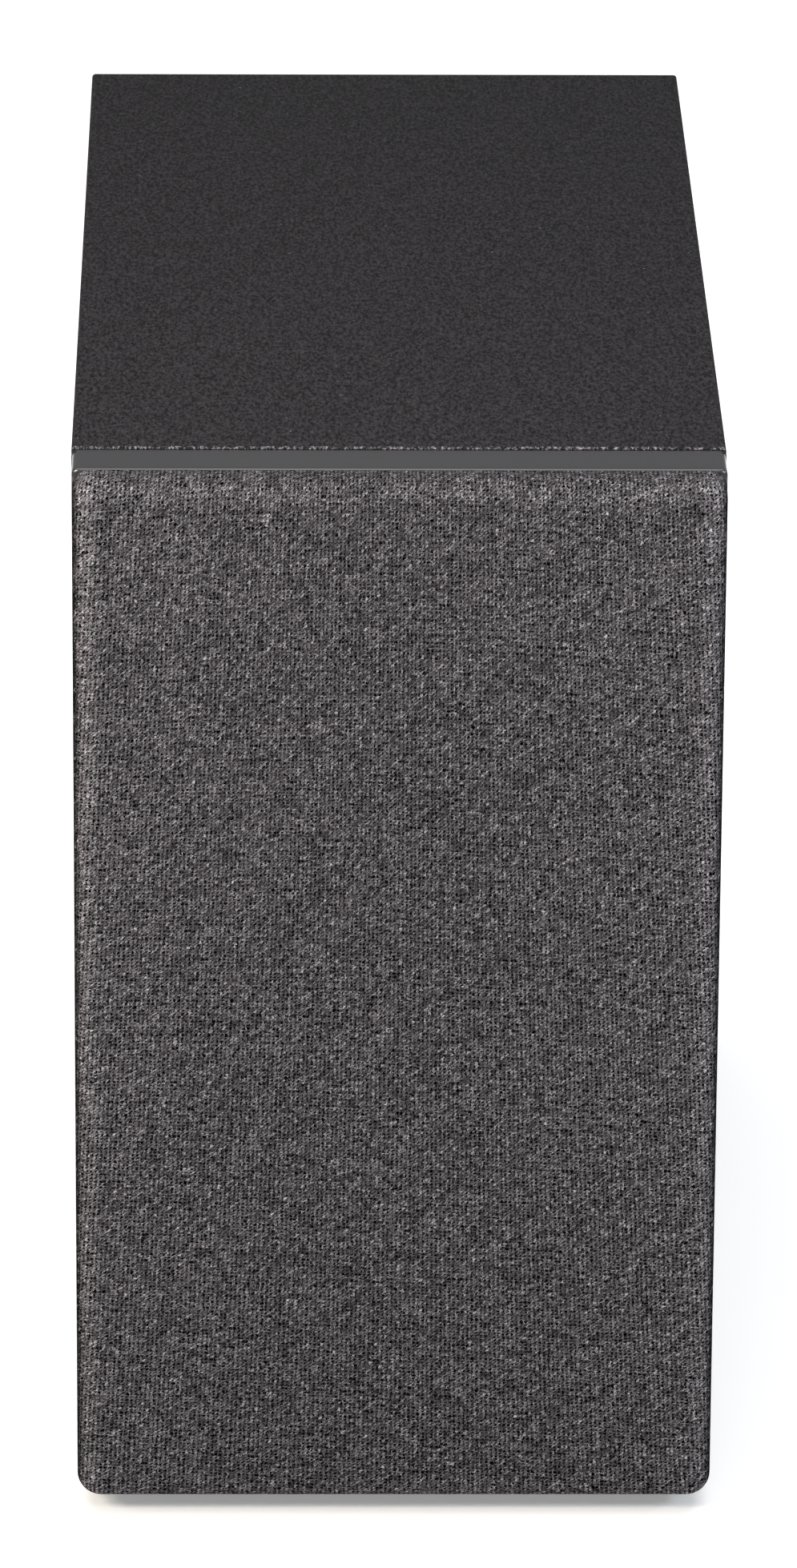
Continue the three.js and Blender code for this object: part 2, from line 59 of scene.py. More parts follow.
# ------------------------------------------------------------------ places, from the frame
WRAP_LOW, WRAP_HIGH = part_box("vinyl_wrap")
BAFFLE_LOW, BAFFLE_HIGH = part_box("front_baffle")
CLOTH_LOW, CLOTH_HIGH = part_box("grille_cloth")
BASKET_LOW, BASKET_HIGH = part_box("woofer_basket")
GASKET_LOW, GASKET_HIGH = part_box("woofer_gasket")
CONE_LOW, CONE_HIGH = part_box("woofer_cone")
CAP_LOW, CAP_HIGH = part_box("dust_cap")
PORT_LOW, PORT_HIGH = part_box("port_tube")
PLATE_LOW, PLATE_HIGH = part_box("amp_plate")
INLET_LOW, INLET_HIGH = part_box("mains_inlet")
BUTTON_LOW, BUTTON_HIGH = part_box("pairing_button")
LENS_LOW, LENS_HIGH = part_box("led_lens")
REAR_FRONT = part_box("rear_panel")[0].y


def middle(node):
    low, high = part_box(node)
    return (low + high) / 2


def numbered(stem, count):
    return [f"{stem}_{i}" for i in range(1, count + 1)]


WOOFER = middle("woofer_basket")
PORT = middle("port_tube")
FLANGE_FRONT = BASKET_LOW.y
FLANGE_BACK = FLANGE_FRONT + 1.5 * MM
FLANGE_RADIUS = (BASKET_HIGH.x - BASKET_LOW.x) / 2
BAFFLE_FRONT = BAFFLE_LOW.y
SOCKET_NAMES = numbered("grille_socket", 4)
SOCKETS = [middle(name) for name in SOCKET_NAMES]
FOOT_NAMES = numbered("foot", 4)
FEET = [middle(name) for name in FOOT_NAMES]


# ------------------------------------------------------------------ camera, light and floor
CAMERA_PLACE = (-0.0357, -2.5803, 1.1302)
CAMERA_PITCH = math.radians(20.945)
CAMERA_HEADING = math.radians(0.853)
CAMERA_ROLL = math.radians(0.364)
LENS_MM = 226.93


def linked(name, data):
    """A new object of the scene."""
    thing = bpy.data.objects.new(name, data)
    bpy.context.scene.collection.objects.link(thing)
    return thing


def add_camera():
    data = bpy.data.cameras.new("studio_camera")
    data.lens = LENS_MM
    data.sensor_width = 36
    data.clip_start = 0.05
    data.clip_end = 30
    camera = linked("studio_camera", data)
    bpy.context.scene.camera = camera
    forward = Vector((
        math.sin(CAMERA_HEADING) * math.cos(CAMERA_PITCH),
        math.cos(CAMERA_HEADING) * math.cos(CAMERA_PITCH),
        -math.sin(CAMERA_PITCH),
    ))
    turn = forward.to_track_quat("-Z", "Y").to_matrix() @ Matrix.Rotation(CAMERA_ROLL, 3, "Z")
    camera.matrix_world = Matrix.Translation(CAMERA_PLACE) @ turn.to_4x4()


def add_softbox(name, place, aim, size, watts, colour):
    data = bpy.data.lights.new(name, "AREA")
    data.shape = "RECTANGLE"
    data.size, data.size_y = size
    data.energy = watts
    data.color = colour
    turn = (Vector(aim) - Vector(place)).to_track_quat("-Z", "Y").to_matrix()
    linked(name, data).matrix_world = Matrix.Translation(place) @ turn.to_4x4()


def add_studio():
    scene = bpy.context.scene
    scene.view_settings.view_transform = "Standard"
    scene.view_settings.look = "None"
    world = bpy.data.worlds.new("studio_world")
    world.use_nodes = True
    backdrop = world.node_tree.nodes["Background"]
    backdrop.inputs["Color"].default_value = (0.97, 0.98, 1.0, 1)
    backdrop.inputs["Strength"].default_value = 0.30
    scene.world = world
    centre = (0, 0, 0.16)
    grille = (0, -0.18, 0.2)
    warm = (1.0, 0.90, 0.77)
    cool = (0.82, 0.90, 1.0)
    white = (1.0, 0.99, 0.98)
    add_softbox("overhead_softbox", (0, 0.2, 2.5), (0, 0.2, 0), (2.8, 2.6), 66, white)
    add_softbox("front_softbox", (0.1, -2.2, 1.9), centre, (1.2, 0.8), 8, white)
    add_softbox("warm_key_softbox", (-0.8, -1.1, 0.95), grille, (0.3, 0.3), 15, warm)
    add_softbox("cool_fill_softbox", (0.85, -1.1, 0.85), grille, (0.3, 0.3), 5, cool)
    add_softbox("left_accent_softbox", (-1.72, -0.83, 1.2), centre, (0.2, 0.2), 8, warm)
    add_softbox("right_accent_softbox", (1.72, -0.83, 1.2), centre, (0.2, 0.2), 6, cool)
    floor = mesh_piece(
        "studio_floor",
        [(-6, -6, 0), (6, -6, 0), (6, 6, 0), (-6, 6, 0)],
        [(0, 1, 2, 3)],
        floor_material(),
    )


# ------------------------------------------------------------------ node writing
class Value:
    """A node socket that takes part in Python arithmetic."""

    def __init__(self, maker, socket):
        self.maker = maker
        self.socket = socket

    def math(self, operation, *others):
        return self.maker.math(operation, self, *others)

    def __add__(self, other):
        return self.math("ADD", other)

    def __sub__(self, other):
        return self.math("SUBTRACT", other)

    def __rsub__(self, other):
        return self.maker.math("SUBTRACT", other, self)

    def __mul__(self, other):
        return self.math("MULTIPLY", other)

    def __truediv__(self, other):
        return self.math("DIVIDE", other)

    def __pow__(self, other):
        return self.math("POWER", other)

    __radd__ = __add__
    __rmul__ = __mul__

    def clamp(self):
        return self.math("MINIMUM", 1.0).math("MAXIMUM", 0.0)

    def rise(self, low, high):
        """0 below low, 1 above high, and a straight line between."""
        return ((self - low) * (1 / (high - low))).clamp()


class Nodes:
    """Writes nodes into one tree."""

    def __init__(self, tree):
        self.tree = tree

    def node(self, kind, settings=None, inputs=None):
        made = self.tree.nodes.new(kind)
        for name, setting in (settings or {}).items():
            setattr(made, name, setting)
        for key, value in (inputs or {}).items():
            self.feed(made.inputs[key], value)
        return made

    def add(self, kind, settings=None, inputs=None, output=0):
        return Value(self, self.node(kind, settings, inputs).outputs[output])

    def geo(self, kind, settings=None, inputs=None):
        return self.add("GeometryNode" + kind, settings, inputs)

    def feed(self, socket, value):
        if isinstance(value, Value):
            self.tree.links.new(value.socket, socket)
        elif value is not None:
            socket.default_value = value

    def math(self, operation, *values):
        return self.add("ShaderNodeMath", {"operation": operation}, dict(enumerate(values)))

    def blend(self, factor, low, high):
        """A colour between two colours; each is a tuple or a Value."""
        inputs = {"Factor": factor, 6: low, 7: high}
        return self.add("ShaderNodeMix", {"data_type": "RGBA"}, inputs, 2)

    def noise(self, where, scale, detail=2.0, roughness=0.5, output=0):
        inputs = {"Vector": where, "Scale": scale, "Detail": detail, "Roughness": roughness}
        return self.add("ShaderNodeTexNoise", None, inputs, output)

    def stretched(self, where, factors):
        inputs = {0: where, 1: factors}
        return self.add("ShaderNodeVectorMath", {"operation": "MULTIPLY"}, inputs)

    def bump(self, height, distance, strength=1.0):
        inputs = {"Height": height, "Distance": distance, "Strength": strength}
        return self.add("ShaderNodeBump", None, inputs)

    def axis(self, vector, index):
        """One coordinate of a vector."""
        return self.add("ShaderNodeSeparateXYZ", None, {0: vector}, index)

    def vector(self, *parts):
        return self.add("ShaderNodeCombineXYZ", None, dict(enumerate(parts)))

    def channel(self, colour, index):
        return self.add("ShaderNodeSeparateColor", None, {0: colour}, index)

    def two_chances(self, column, row):
        """Two random values of a cell."""
        cell = self.vector(column, row)
        luck = self.add("ShaderNodeTexWhiteNoise", {"noise_dimensions": "2D"}, {"Vector": cell}, 1)
        return self.channel(luck, 0), self.channel(luck, 1)

    def object_place(self):
        return self.add("ShaderNodeTexCoord", None, None, "Object")


def tone(level, tint=(1.0, 1.0, 1.0)):
    return tuple(level * share for share in tint) + (1.0,)


def material_of(name, build):
    """A node material; build(nodes, where) gives the inputs of its Principled shader."""
    material = bpy.data.materials.new(name)
    material.use_nodes = True
    tree = material.node_tree
    shader = tree.nodes["Principled BSDF"]
    nodes = Nodes(tree)
    for key, value in build(nodes, nodes.object_place()).items():
        nodes.feed(shader.inputs[key], value)
    return material


def makes(name):
    """Turns a function that gives Principled inputs into one that makes the named material."""
    return lambda build: lambda: material_of(name, build)


# ------------------------------------------------------------------ materials
# The tints of the dark finishes: the knit's is nearly neutral, the film's leans to plum.
CHARCOAL = (1.0, 0.935, 1.005)
PLUM = (1.0, 0.915, 1.03)


@makes("pale_floor")
def floor_material(nodes, where):
    drift = nodes.noise(where, 1.5)
    return {
        "Base Color": nodes.blend(drift, tone(0.90), tone(0.93)),
        "Emission Color": nodes.blend(drift, tone(0.97), tone(1.0)),
        "Emission Strength": 0.26,
        "Roughness": 0.75,
    }


def lying_dust(nodes, where):
    """(amount, colour) of the specks on the cabinet's top: pale lint and a few blue-grey ones."""
    flat = {"voronoi_dimensions": "2D"}
    cells = {"Vector": where, "Scale": 72.0}
    dots = nodes.add("ShaderNodeTexVoronoi", flat, cells)
    chosen = nodes.add("ShaderNodeTexVoronoi", flat, cells, "Color")
    chance = nodes.channel(chosen, 0)
    size = nodes.channel(chosen, 1)
    on_top = (nodes.axis(where, 2) - WRAP_HIGH.z).rise(-0.6 * MM, -0.1 * MM)
    dust = 1 - (dots - size * 0.018).rise(0.0, 0.016)
    lint = nodes.blend(size, tone(0.26, CHARCOAL), (0.07, 0.09, 0.17, 1))
    return dust * chance.rise(0.74, 1.0) * on_top, lint


@makes("sanded_charcoal_film")
def film_material(nodes, where):
    """Charcoal film with a fine sanded grain, pale crumbs along its cut front edge that also stand as a
    painted highlight on that edge, a tone painted lighter towards the front, and dust.
    """
    drawn = nodes.stretched(where, (1, 0.42, 1))
    coarse = nodes.noise(drawn, 1150, 3, 0.65)
    fine = nodes.noise(drawn, 2900, 2, 0.6)
    cloud = nodes.noise(where, 22, 3)
    grain = coarse * 0.6 + fine * 0.4
    dust, lint = lying_dust(nodes, where)
    along = nodes.axis(where, 1)
    frontward = (WRAP_HIGH.y - along).rise(0, WRAP_HIGH.y - WRAP_LOW.y)
    edge = 1 - (along - WRAP_LOW.y).rise(1.3 * MM, 2.0 * MM)
    flecks = nodes.noise(nodes.stretched(where, (1, 0.4, 1)), 1500, 2, 0.7)
    # Crumbs on the cut front edge: partly the film's ragged edge, partly a painted highlight on that
    # arris.
    crumbs_and_edge_highlight = flecks.rise(0.49, 0.62) * edge
    pits = (1 - flecks.rise(0.36, 0.46)) * edge
    # Painted light: the film's tone is painted lighter towards the front.
    pale = nodes.blend(frontward, tone(0.030, PLUM), tone(0.042, PLUM))
    base = nodes.blend(grain.rise(0.41, 0.66), tone(0.0005, PLUM), pale)
    base = nodes.blend(cloud * 0.2, base, tone(0.014, PLUM))
    base = nodes.blend(dust * 0.9, base, lint)
    base = nodes.blend(pits * 0.9, base, tone(0.002, CHARCOAL))
    # Painted highlight along the front arris, in pale crumbs.
    base = nodes.blend(crumbs_and_edge_highlight * 0.8, base, tone(0.34, CHARCOAL))
    return {
        "Base Color": base,
        "Roughness": 0.52 + 0.24 * coarse,
        "Specular IOR Level": 0.11,
        "Normal": nodes.bump(grain + crumbs_and_edge_highlight * 0.8, 0.38 * MM),
    }


@makes("satin_grey_lacquer")
def lacquer_material(nodes, where):
    """Satin dark grey lacquer: nearly smooth, with faint flow marks and pale specks."""
    flow = nodes.noise(where, 160, 2)
    cloud = nodes.noise(where, 14, 3)
    specks = nodes.noise(where, 1700, 2).rise(0.68, 0.76)
    base = nodes.blend(cloud, tone(0.012, PLUM), tone(0.018, PLUM))
    base = nodes.blend(specks * 0.5, base, tone(0.10, CHARCOAL))
    return {
        "Base Color": base,
        "Roughness": 0.22 + cloud * 0.12,
        "Specular IOR Level": 0.5,
        "Coat Weight": 0.3 + 0.3 * cloud,
        "Coat Roughness": 0.12,
        "Normal": nodes.bump(flow + specks * 0.25, 0.05 * MM),
    }


def painted_knit_light(nodes, where, lower):
    """Painted light on the cloth over its frame: painted highlights on the crests of the folds, painted
    shade on their flanks and towards the foot, and painted lighter towards both sides.
    """
    side = nodes.axis(where, 0)
    painted_fold_light = [
        (side - CLOTH_LOW.x, 0.85, 0.85),
        (CLOTH_HIGH.x - side, 0.55, 0.85),
        (CLOTH_HIGH.z - nodes.axis(where, 2), 0.55, 0.0),
    ]
    # Painted shade towards the foot, and painted light towards both sides.
    painted_light = (1.08 - 0.15 * lower) * (0.86 + (side * (1 / CLOTH_HIGH.x)) ** 2.0 * 0.15)
    for depth, lift, shade in painted_fold_light:
        # Per edge: a painted highlight on the fold's crest and painted shade on its flank.
        painted_crest_highlight = depth.rise(0.8 * MM, 2.2 * MM) * (1 - depth.rise(3.8 * MM, 7.0 * MM))
        painted_flank_shade = 1 - depth.rise(0.1 * MM, 1.3 * MM)
        painted_light = painted_light * (1 + lift * painted_crest_highlight * (1 - 0.5 * lower)) * (1 - shade * painted_flank_shade)
    return painted_light


@makes("charcoal_warp_knit")
def knit_material(nodes, where):
    """Warp-knit acoustic cloth on a UV map that counts stitches: leaning loops of fine filaments
    with open, black eyelets between them."""
    lower = 1 - nodes.axis(where, 2).rise(CLOTH_LOW.z, CLOTH_HIGH.z)
    stitches = nodes.add("ShaderNodeUVMap", {"uv_map": "stitches"})
    wander = nodes.noise(stitches, 1.5, 3, 0.72, "Color")
    placed = nodes.add(
        "ShaderNodeVectorMath", {"operation": "MULTIPLY_ADD"},
        {0: wander, 1: (1.9, 1.9, 0), 2: stitches})
    across = nodes.axis(placed, 0)
    up = nodes.axis(placed, 1)
    row = up.math("FLOOR")
    rise = up - row
    wale = across - (rise - 0.5) * 0.62
    column = wale.math("FLOOR")
    own, glint = nodes.two_chances(column, row)
    leg = (1 - ((wale - column - 0.62).math("ABSOLUTE") * 2.7) ** 2.0).math("MAXIMUM", 0.0)
    strands = nodes.noise(nodes.vector(wale * 2.5, up * 1.6), 1.0, 2, 0.6).rise(0.40, 0.61)
    fuzz = nodes.noise(stitches, 5.0, 2, 0.65).rise(0.33, 0.67)
    patch = nodes.noise(stitches, 0.13, 3, 0.6)
    eye_column = (across + 0.38).math("FLOOR")
    gape, jitter = nodes.two_chances(eye_column + 0.5, row)
    eye_across = (across - eye_column - 0.12 + (jitter - 0.5) * 0.3) * 3.2
    eye_up = (rise - 0.5 + (gape - 0.5) * 0.2) * 2.7
    eye_far = (eye_across * eye_across + eye_up * eye_up).math("SQRT")
    every_other = (row * 0.5).math("FRACT")
    eye_size = 0.30 + 0.14 * lower + gape * (0.56 + 0.5 * every_other)
    eyelet = 1 - (eye_far * (0.75 + 0.5 * fuzz) - eye_size).rise(-0.26, 0.26)
    body = (0.52 + 0.48 * leg) * (0.55 + 0.45 * own) * (0.03 + 0.50 * strands + 0.50 * fuzz)
    body = (body * (0.97 + 0.06 * patch) * (1 - eyelet)).clamp() ** 2.0
    # Painted light and shade over the frame's edges and down the cloth.
    body = (body * painted_knit_light(nodes, where, lower)).clamp()
    yarn = nodes.blend(body, tone(0.0005, CHARCOAL), tone(0.64, CHARCOAL))
    # Painted highlight: on a random few stitches the legs are painted pale, as glints.
    painted_glints = glint.rise(0.80, 1.0) * leg * strands * (1 - eyelet)
    yarn = nodes.blend(painted_glints * 0.4, yarn, tone(0.72, CHARCOAL))
    return {
        "Base Color": yarn,
        "Roughness": 0.8,
        "Specular IOR Level": 0.0,
        "Coat Weight": body,
        "Coat Roughness": 0.36,
        "Coat IOR": 1.5,
        "Normal": nodes.bump(body + leg * 0.3 - eyelet * 0.4, 0.30 * MM, 0.7),
    }


def plastic_material(name, level, roughness, grain_scale=1500, tint=(1, 1, 1.02)):
    """Moulded plastic with a spark-eroded grain; the roughness varies with the grain."""
    def build(nodes, where):
        grain = nodes.noise(where, grain_scale, 2)
        cloud = nodes.noise(where, 30, 2)
        return {
            "Base Color": nodes.blend(cloud, tone(level * 0.85, tint), tone(level * 1.2, tint)),
            "Roughness": roughness - 0.06 + 0.14 * grain,
            "Normal": nodes.bump(grain, 0.05 * MM),
        }

    return material_of(name, build)


@makes("black_rubber")
def rubber_material(nodes, where):
    bloom = nodes.noise(where, 55, 4, 0.6)
    grain = nodes.noise(where, 1200, 2)
    return {
        "Base Color": nodes.blend(bloom.rise(0.45, 0.8), tone(0.011), tone(0.032)),
        "Roughness": 0.62 + 0.2 * bloom,
        "Specular IOR Level": 0.35,
        "Normal": nodes.bump(grain, 0.04 * MM),
    }


@makes("black_powder_coat")
def powder_coat_material(nodes, where):
    """Black powder coat: a fine orange peel over pressed steel."""
    peel = nodes.noise(where, 620, 2)
    tiny = nodes.noise(where, 2400, 2)
    return {
        "Base Color": nodes.blend(tiny, tone(0.014), tone(0.026)),
        "Roughness": 0.38 + 0.16 * tiny,
        "Normal": nodes.bump(peel + tiny * 0.3, 0.07 * MM),
    }


def metal_material(name, colour, roughness, brushed=(1, 1, 1)):
    def build(nodes, where):
        where = nodes.stretched(where, brushed)
        lines = nodes.noise(where, 900, 4, 0.65)
        stain = nodes.noise(where, 24, 3)
        dark = tuple(0.72 * part for part in colour[:3]) + (1,)
        return {
            "Base Color": nodes.blend(stain, dark, colour),
            "Metallic": 1.0,
            "Roughness": roughness - 0.08 + 0.2 * lines,
            "Normal": nodes.bump(lines, 0.02 * MM),
        }

    return material_of(name, build)


@makes("raw_fibreboard")
def fibreboard_material(nodes, where):
    """Raw medium-density board: matted fibre and darker flecks, painted black at both open ends."""
    fibre = nodes.noise(nodes.stretched(where, (1, 0.35, 1)), 1400, 4, 0.7)
    fleck = nodes.noise(where, 480, 2).rise(0.60, 0.74)
    base = nodes.blend(fibre, (0.20, 0.125, 0.066, 1), (0.42, 0.29, 0.17, 1))
    base = nodes.blend(fleck * 0.6, base, (0.12, 0.07, 0.035, 1))
    ragged = nodes.axis(where, 1) + fibre * 0.6 * MM
    front_stain = 1 - (ragged - WRAP_LOW.y).rise(1.6 * MM, 2.2 * MM)
    rear_stain = (ragged - REAR_FRONT).rise(0, 0.6 * MM)
    paint = nodes.blend(fibre, tone(0.007), tone(0.022))
    base = nodes.blend((front_stain + rear_stain).clamp(), base, paint)
    return {
        "Base Color": base,
        "Roughness": 0.86,
        "Normal": nodes.bump(fibre, 0.12 * MM),
    }


@makes("black_stained_board")
def stained_board_material(nodes, where):
    """Fibreboard under a thin coat of black stain, with its fibre still telling."""
    fibre = nodes.noise(where, 1300, 4, 0.7)
    cloud = nodes.noise(where, 30, 3)
    base = nodes.blend(fibre, tone(0.011), tone(0.034, (1, 0.95, 0.9)))
    return {
        "Base Color": nodes.blend(cloud * 0.4, base, tone(0.02)),
        "Roughness": 0.66 + 0.16 * fibre,
        "Normal": nodes.bump(fibre, 0.10 * MM),
    }


@makes("black_paper_pulp")
def pulp_material(nodes, where):
    """Pressed black paper pulp: short fibres, some longer pale ones, and a little sheen."""
    fibre = nodes.noise(where, 700, 5, 0.72)
    long_fibre = nodes.noise(nodes.stretched(where, (1, 1, 0.25)), 900, 2).rise(0.6, 0.7)
    base = nodes.blend(fibre, tone(0.010), tone(0.036))
    base = nodes.blend(long_fibre * 0.35, base, tone(0.07))
    return {
        "Base Color": base,
        "Roughness": 0.70 + 0.18 * fibre,
        "Sheen Weight": 0.08,
        "Normal": nodes.bump(fibre + long_fibre * 0.4, 0.16 * MM),
    }


def felt_material(name, dark, pale):
    def build(nodes, where):
        tangle = nodes.noise(where, 420, 5, 0.75)
        tuft = nodes.noise(where, 90, 3)
        return {
            "Base Color": nodes.blend((tangle * 0.7 + tuft * 0.3).clamp(), dark, pale),
            "Roughness": 0.95,
            "Sheen Weight": 0.2,
            "Normal": nodes.bump(tangle, 0.5 * MM),
        }

    return material_of(name, build)


@makes("closed_cell_foam")
def foam_material(nodes, where):
    pores = nodes.add("ShaderNodeTexVoronoi", None, {"Vector": where, "Scale": 2200.0})
    return {
        "Base Color": nodes.blend(pores.rise(0.1, 0.6), tone(0.008), tone(0.03)),
        "Roughness": 0.92,
        "Normal": nodes.bump(pores, 0.10 * MM),
    }


@makes("circuit_board")
def circuit_material(nodes, where):
    """Green solder mask with raised copper tracks and tinned pads."""
    weave = nodes.noise(where, 2200, 2)
    cells = nodes.add(
        "ShaderNodeTexVoronoi", {"distance": "CHEBYCHEV", "feature": "F1"},
        {"Vector": where, "Scale": 210.0, "Randomness": 0.35})
    tracks = cells.rise(0.40, 0.46)
    pads = 1 - cells.rise(0.10, 0.16)
    base = nodes.blend(weave, (0.004, 0.050, 0.020, 1), (0.007, 0.072, 0.030, 1))
    base = nodes.blend(tracks * 0.6, base, (0.018, 0.14, 0.052, 1))
    base = nodes.blend(pads, base, (0.55, 0.55, 0.53, 1))
    return {
        "Base Color": base,
        "Metallic": pads * 0.9,
        "Roughness": 0.42 - 0.1 * pads,
        "Normal": nodes.bump(tracks * 0.5 + pads, 0.08 * MM),
    }


@makes("light_guide")
def light_guide_material(nodes, where):
    swirl = nodes.noise(where, 300, 2)
    return {
        "Base Color": nodes.blend(swirl, (0.55, 0.60, 0.64, 1), (0.75, 0.80, 0.84, 1)),
        "Roughness": 0.12 + 0.08 * swirl,
        "Coat Weight": 0.4 + 0.2 * swirl,
        "Normal": nodes.bump(swirl, 0.02 * MM),
    }


# ------------------------------------------------------------------ mesh helpers
def finish_mesh(mesh, crease=32):
    mesh.shade_smooth()
    mesh.set_sharp_from_angle(angle=math.radians(crease))


def face_out(mesh):
    work = bmesh.new()
    work.from_mesh(mesh)
    bmesh.ops.remove_doubles(work, verts=work.verts, dist=1e-7)
    bmesh.ops.recalc_face_normals(work, faces=work.faces)
    work.to_mesh(mesh)
    work.free()


def object_of(name, mesh, material=None):
    piece = linked(name, mesh)
    if material:
        mesh.materials.clear()
        mesh.materials.append(material)
    return piece


def mesh_piece(name, points, faces, material, crease=32):
    mesh = bpy.data.meshes.new(name)
    mesh.from_pydata([tuple(point) for point in points], [], faces)
    face_out(mesh)
    finish_mesh(mesh, crease)
    return object_of(name, mesh, material)


def arc(centre, radius, from_degrees, to_degrees, steps):
    """Points [a, b] of an arc in a profile plane."""
    points = []
    for step in range(steps + 1):
        angle = math.radians(from_degrees + (to_degrees - from_degrees) * step / steps)
        points.append((centre[0] + radius * math.cos(angle), centre[1] + radius * math.sin(angle)))
    return points


def turned_faces(rows, columns, closed_round, closed_profile):
    """Quads of a grid of rows (round the axis) by columns (along the profile)."""
    faces = []
    last_row = rows if closed_round else rows - 1
    last_column = columns if closed_profile else columns - 1
    for row in range(last_row):
        for column in range(last_column):
            a = row * columns + column
            b = ((row + 1) % rows) * columns + column
            c = ((row + 1) % rows) * columns + (column + 1) % columns
            d = row * columns + (column + 1) % columns
            faces.append((a, b, c, d))
    return faces


def strip_faces(rows, columns):
    """Quads of rings in a row, with both end rings closed."""
    first = tuple(range(columns))
    last = tuple(range((rows - 1) * columns, rows * columns))
    return turned_faces(rows, columns, False, True) + [first, last]


def turned(name, profile, axis, material, segments=96, closed=True, crease=32):
    """A body of revolution about the line along Y through axis. The profile is (radius, y)."""
    points = []
    for step in range(segments):
        angle = 2 * math.pi * step / segments
        for radius, y in profile:
            points.append((axis.x + radius * math.cos(angle), y, axis.z + radius * math.sin(angle)))
    faces = turned_faces(segments, len(profile), True, closed)
    return mesh_piece(name, points, faces, material, crease)


def rounded_outline(width, height, radii, cuts=(1, 1), corner_steps=8):
    """Points (x, z, outward x, outward z) round a rectangle with round corners, about the origin.

    radii are those of the top and the bottom corners; cuts is how many parts the long runs
    (along x, along z) are cut into.
    """
    loop = []
    for quarter in range(4):
        radius = radii[quarter // 2]
        sign_x = (1, -1, -1, 1)[quarter]
        sign_z = (1, 1, -1, -1)[quarter]
        centre = (sign_x * (width / 2 - radius), sign_z * (height / 2 - radius))
        for step in range(corner_steps + 1):
            angle = (quarter + step / corner_steps) * math.pi / 2
            out = (math.cos(angle), math.sin(angle))
            loop.append((centre[0] + radius * out[0], centre[1] + radius * out[1], *out))
        run = width - 2 * radius if quarter % 2 == 0 else height - sum(radii)
        start = loop[-1]
        way = ((-1, 0), (0, -1), (1, 0), (0, 1))[quarter]
        parts = cuts[quarter % 2]
        for cut in range(1, parts):
            step = run * cut / parts
            loop.append((start[0] + way[0] * step, start[1] + way[1] * step, start[2], start[3]))
    return loop


def carved(piece, tools, operation="DIFFERENCE"):
    """Cuts the tools out of the piece, or joins them to it, and drops them."""
    for tool in tools:
        cutter = piece.modifiers.new("cut", "BOOLEAN")
        cutter.operation = operation
        cutter.solver = "EXACT"
        cutter.object = tool
    return applied(piece, tools)


def bake(piece):
    """Works the piece's modifiers into its mesh."""
    bpy.context.view_layer.update()
    graph = bpy.context.evaluated_depsgraph_get()
    mesh = bpy.data.meshes.new_from_object(piece.evaluated_get(graph))
    piece.modifiers.clear()
    old = piece.data
    piece.data = mesh
    mesh.name = piece.name
    bpy.data.meshes.remove(old)


def applied(piece, spent=()):
    """The piece baked into one smooth mesh with its first material."""
    material = piece.data.materials[0] if piece.data.materials else None
    bake(piece)
    mesh = piece.data
    if material:
        mesh.materials.clear()
        mesh.materials.append(material)
    for polygon in mesh.polygons:
        polygon.material_index = 0
    for tool in spent:
        bpy.data.objects.remove(tool)
    finish_mesh(mesh)
    return piece


def done(piece, body, replaced=()):
    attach(piece, body)
    if replaced:
        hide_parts(*replaced)
    return piece


# ------------------------------------------------------------------ geometry nodes
def new_tree(name, sizes):
    """A geometry node tree whose named inputs are sizes: {name: default}."""
    tree = bpy.data.node_groups.new(name, "GeometryNodeTree")
    tree.interface.new_socket("Geometry", in_out="INPUT", socket_type="NodeSocketGeometry")
    for size_name, default in sizes.items():
        kind = "NodeSocketInt" if isinstance(default, int) else "NodeSocketFloat"
        socket = tree.interface.new_socket(size_name, in_out="INPUT", socket_type=kind)
        socket.default_value = default
    tree.interface.new_socket("Geometry", in_out="OUTPUT", socket_type="NodeSocketGeometry")
    nodes = Nodes(tree)
    entry = nodes.node("NodeGroupInput")
    return tree, nodes, {socket.name: Value(nodes, socket) for socket in entry.outputs if socket.name}


def end_tree(nodes, geometry, material):
    real = nodes.geo("RealizeInstances", None, {"Geometry": geometry})
    coated = nodes.geo("SetMaterial", None, {"Geometry": real, "Material": material})
    nodes.node("NodeGroupOutput", None, {0: coated})


def grown(name, mesh, tree, sizes):
    """The plain mesh that a tree makes of a mesh with these sizes."""
    seed = object_of(name, mesh)
    growth = seed.modifiers.new(tree.name, "NODES")
    growth.node_group = tree
    for item in tree.interface.items_tree:
        if item.in_out == "INPUT" and item.name in sizes:
            growth[item.identifier] = sizes[item.name]
    bake(seed)
    face_out(seed.data)
    finish_mesh(seed.data)
    return seed


def points_mesh(name, points):
    mesh = bpy.data.meshes.new(name)
    mesh.from_pydata([tuple(point) for point in points], [], [])
    return mesh


def set_on_points(nodes, seats, body, turn=(0.0, 0.0, 0.0)):
    points = nodes.geo("MeshToPoints", None, {"Mesh": seats})
    inputs = {"Points": points, "Instance": body, "Rotation": turn}
    return nodes.geo("InstanceOnPoints", None, inputs)


def joined(nodes, *parts):
    join = nodes.node("GeometryNodeJoinGeometry")
    for part in reversed(parts):
        nodes.tree.links.new(part.socket, join.inputs[0])
    return Value(nodes, join.outputs[0])


def moved(nodes, geometry, offset=(0, 0, 0), turn=(0, 0, 0), scale=(1, 1, 1)):
    inputs = {"Geometry": geometry, "Translation": offset, "Rotation": turn, "Scale": scale}
    return nodes.geo("Transform", None, inputs)


def lifted(nodes, height):
    return nodes.vector(0.0, 0.0, height)


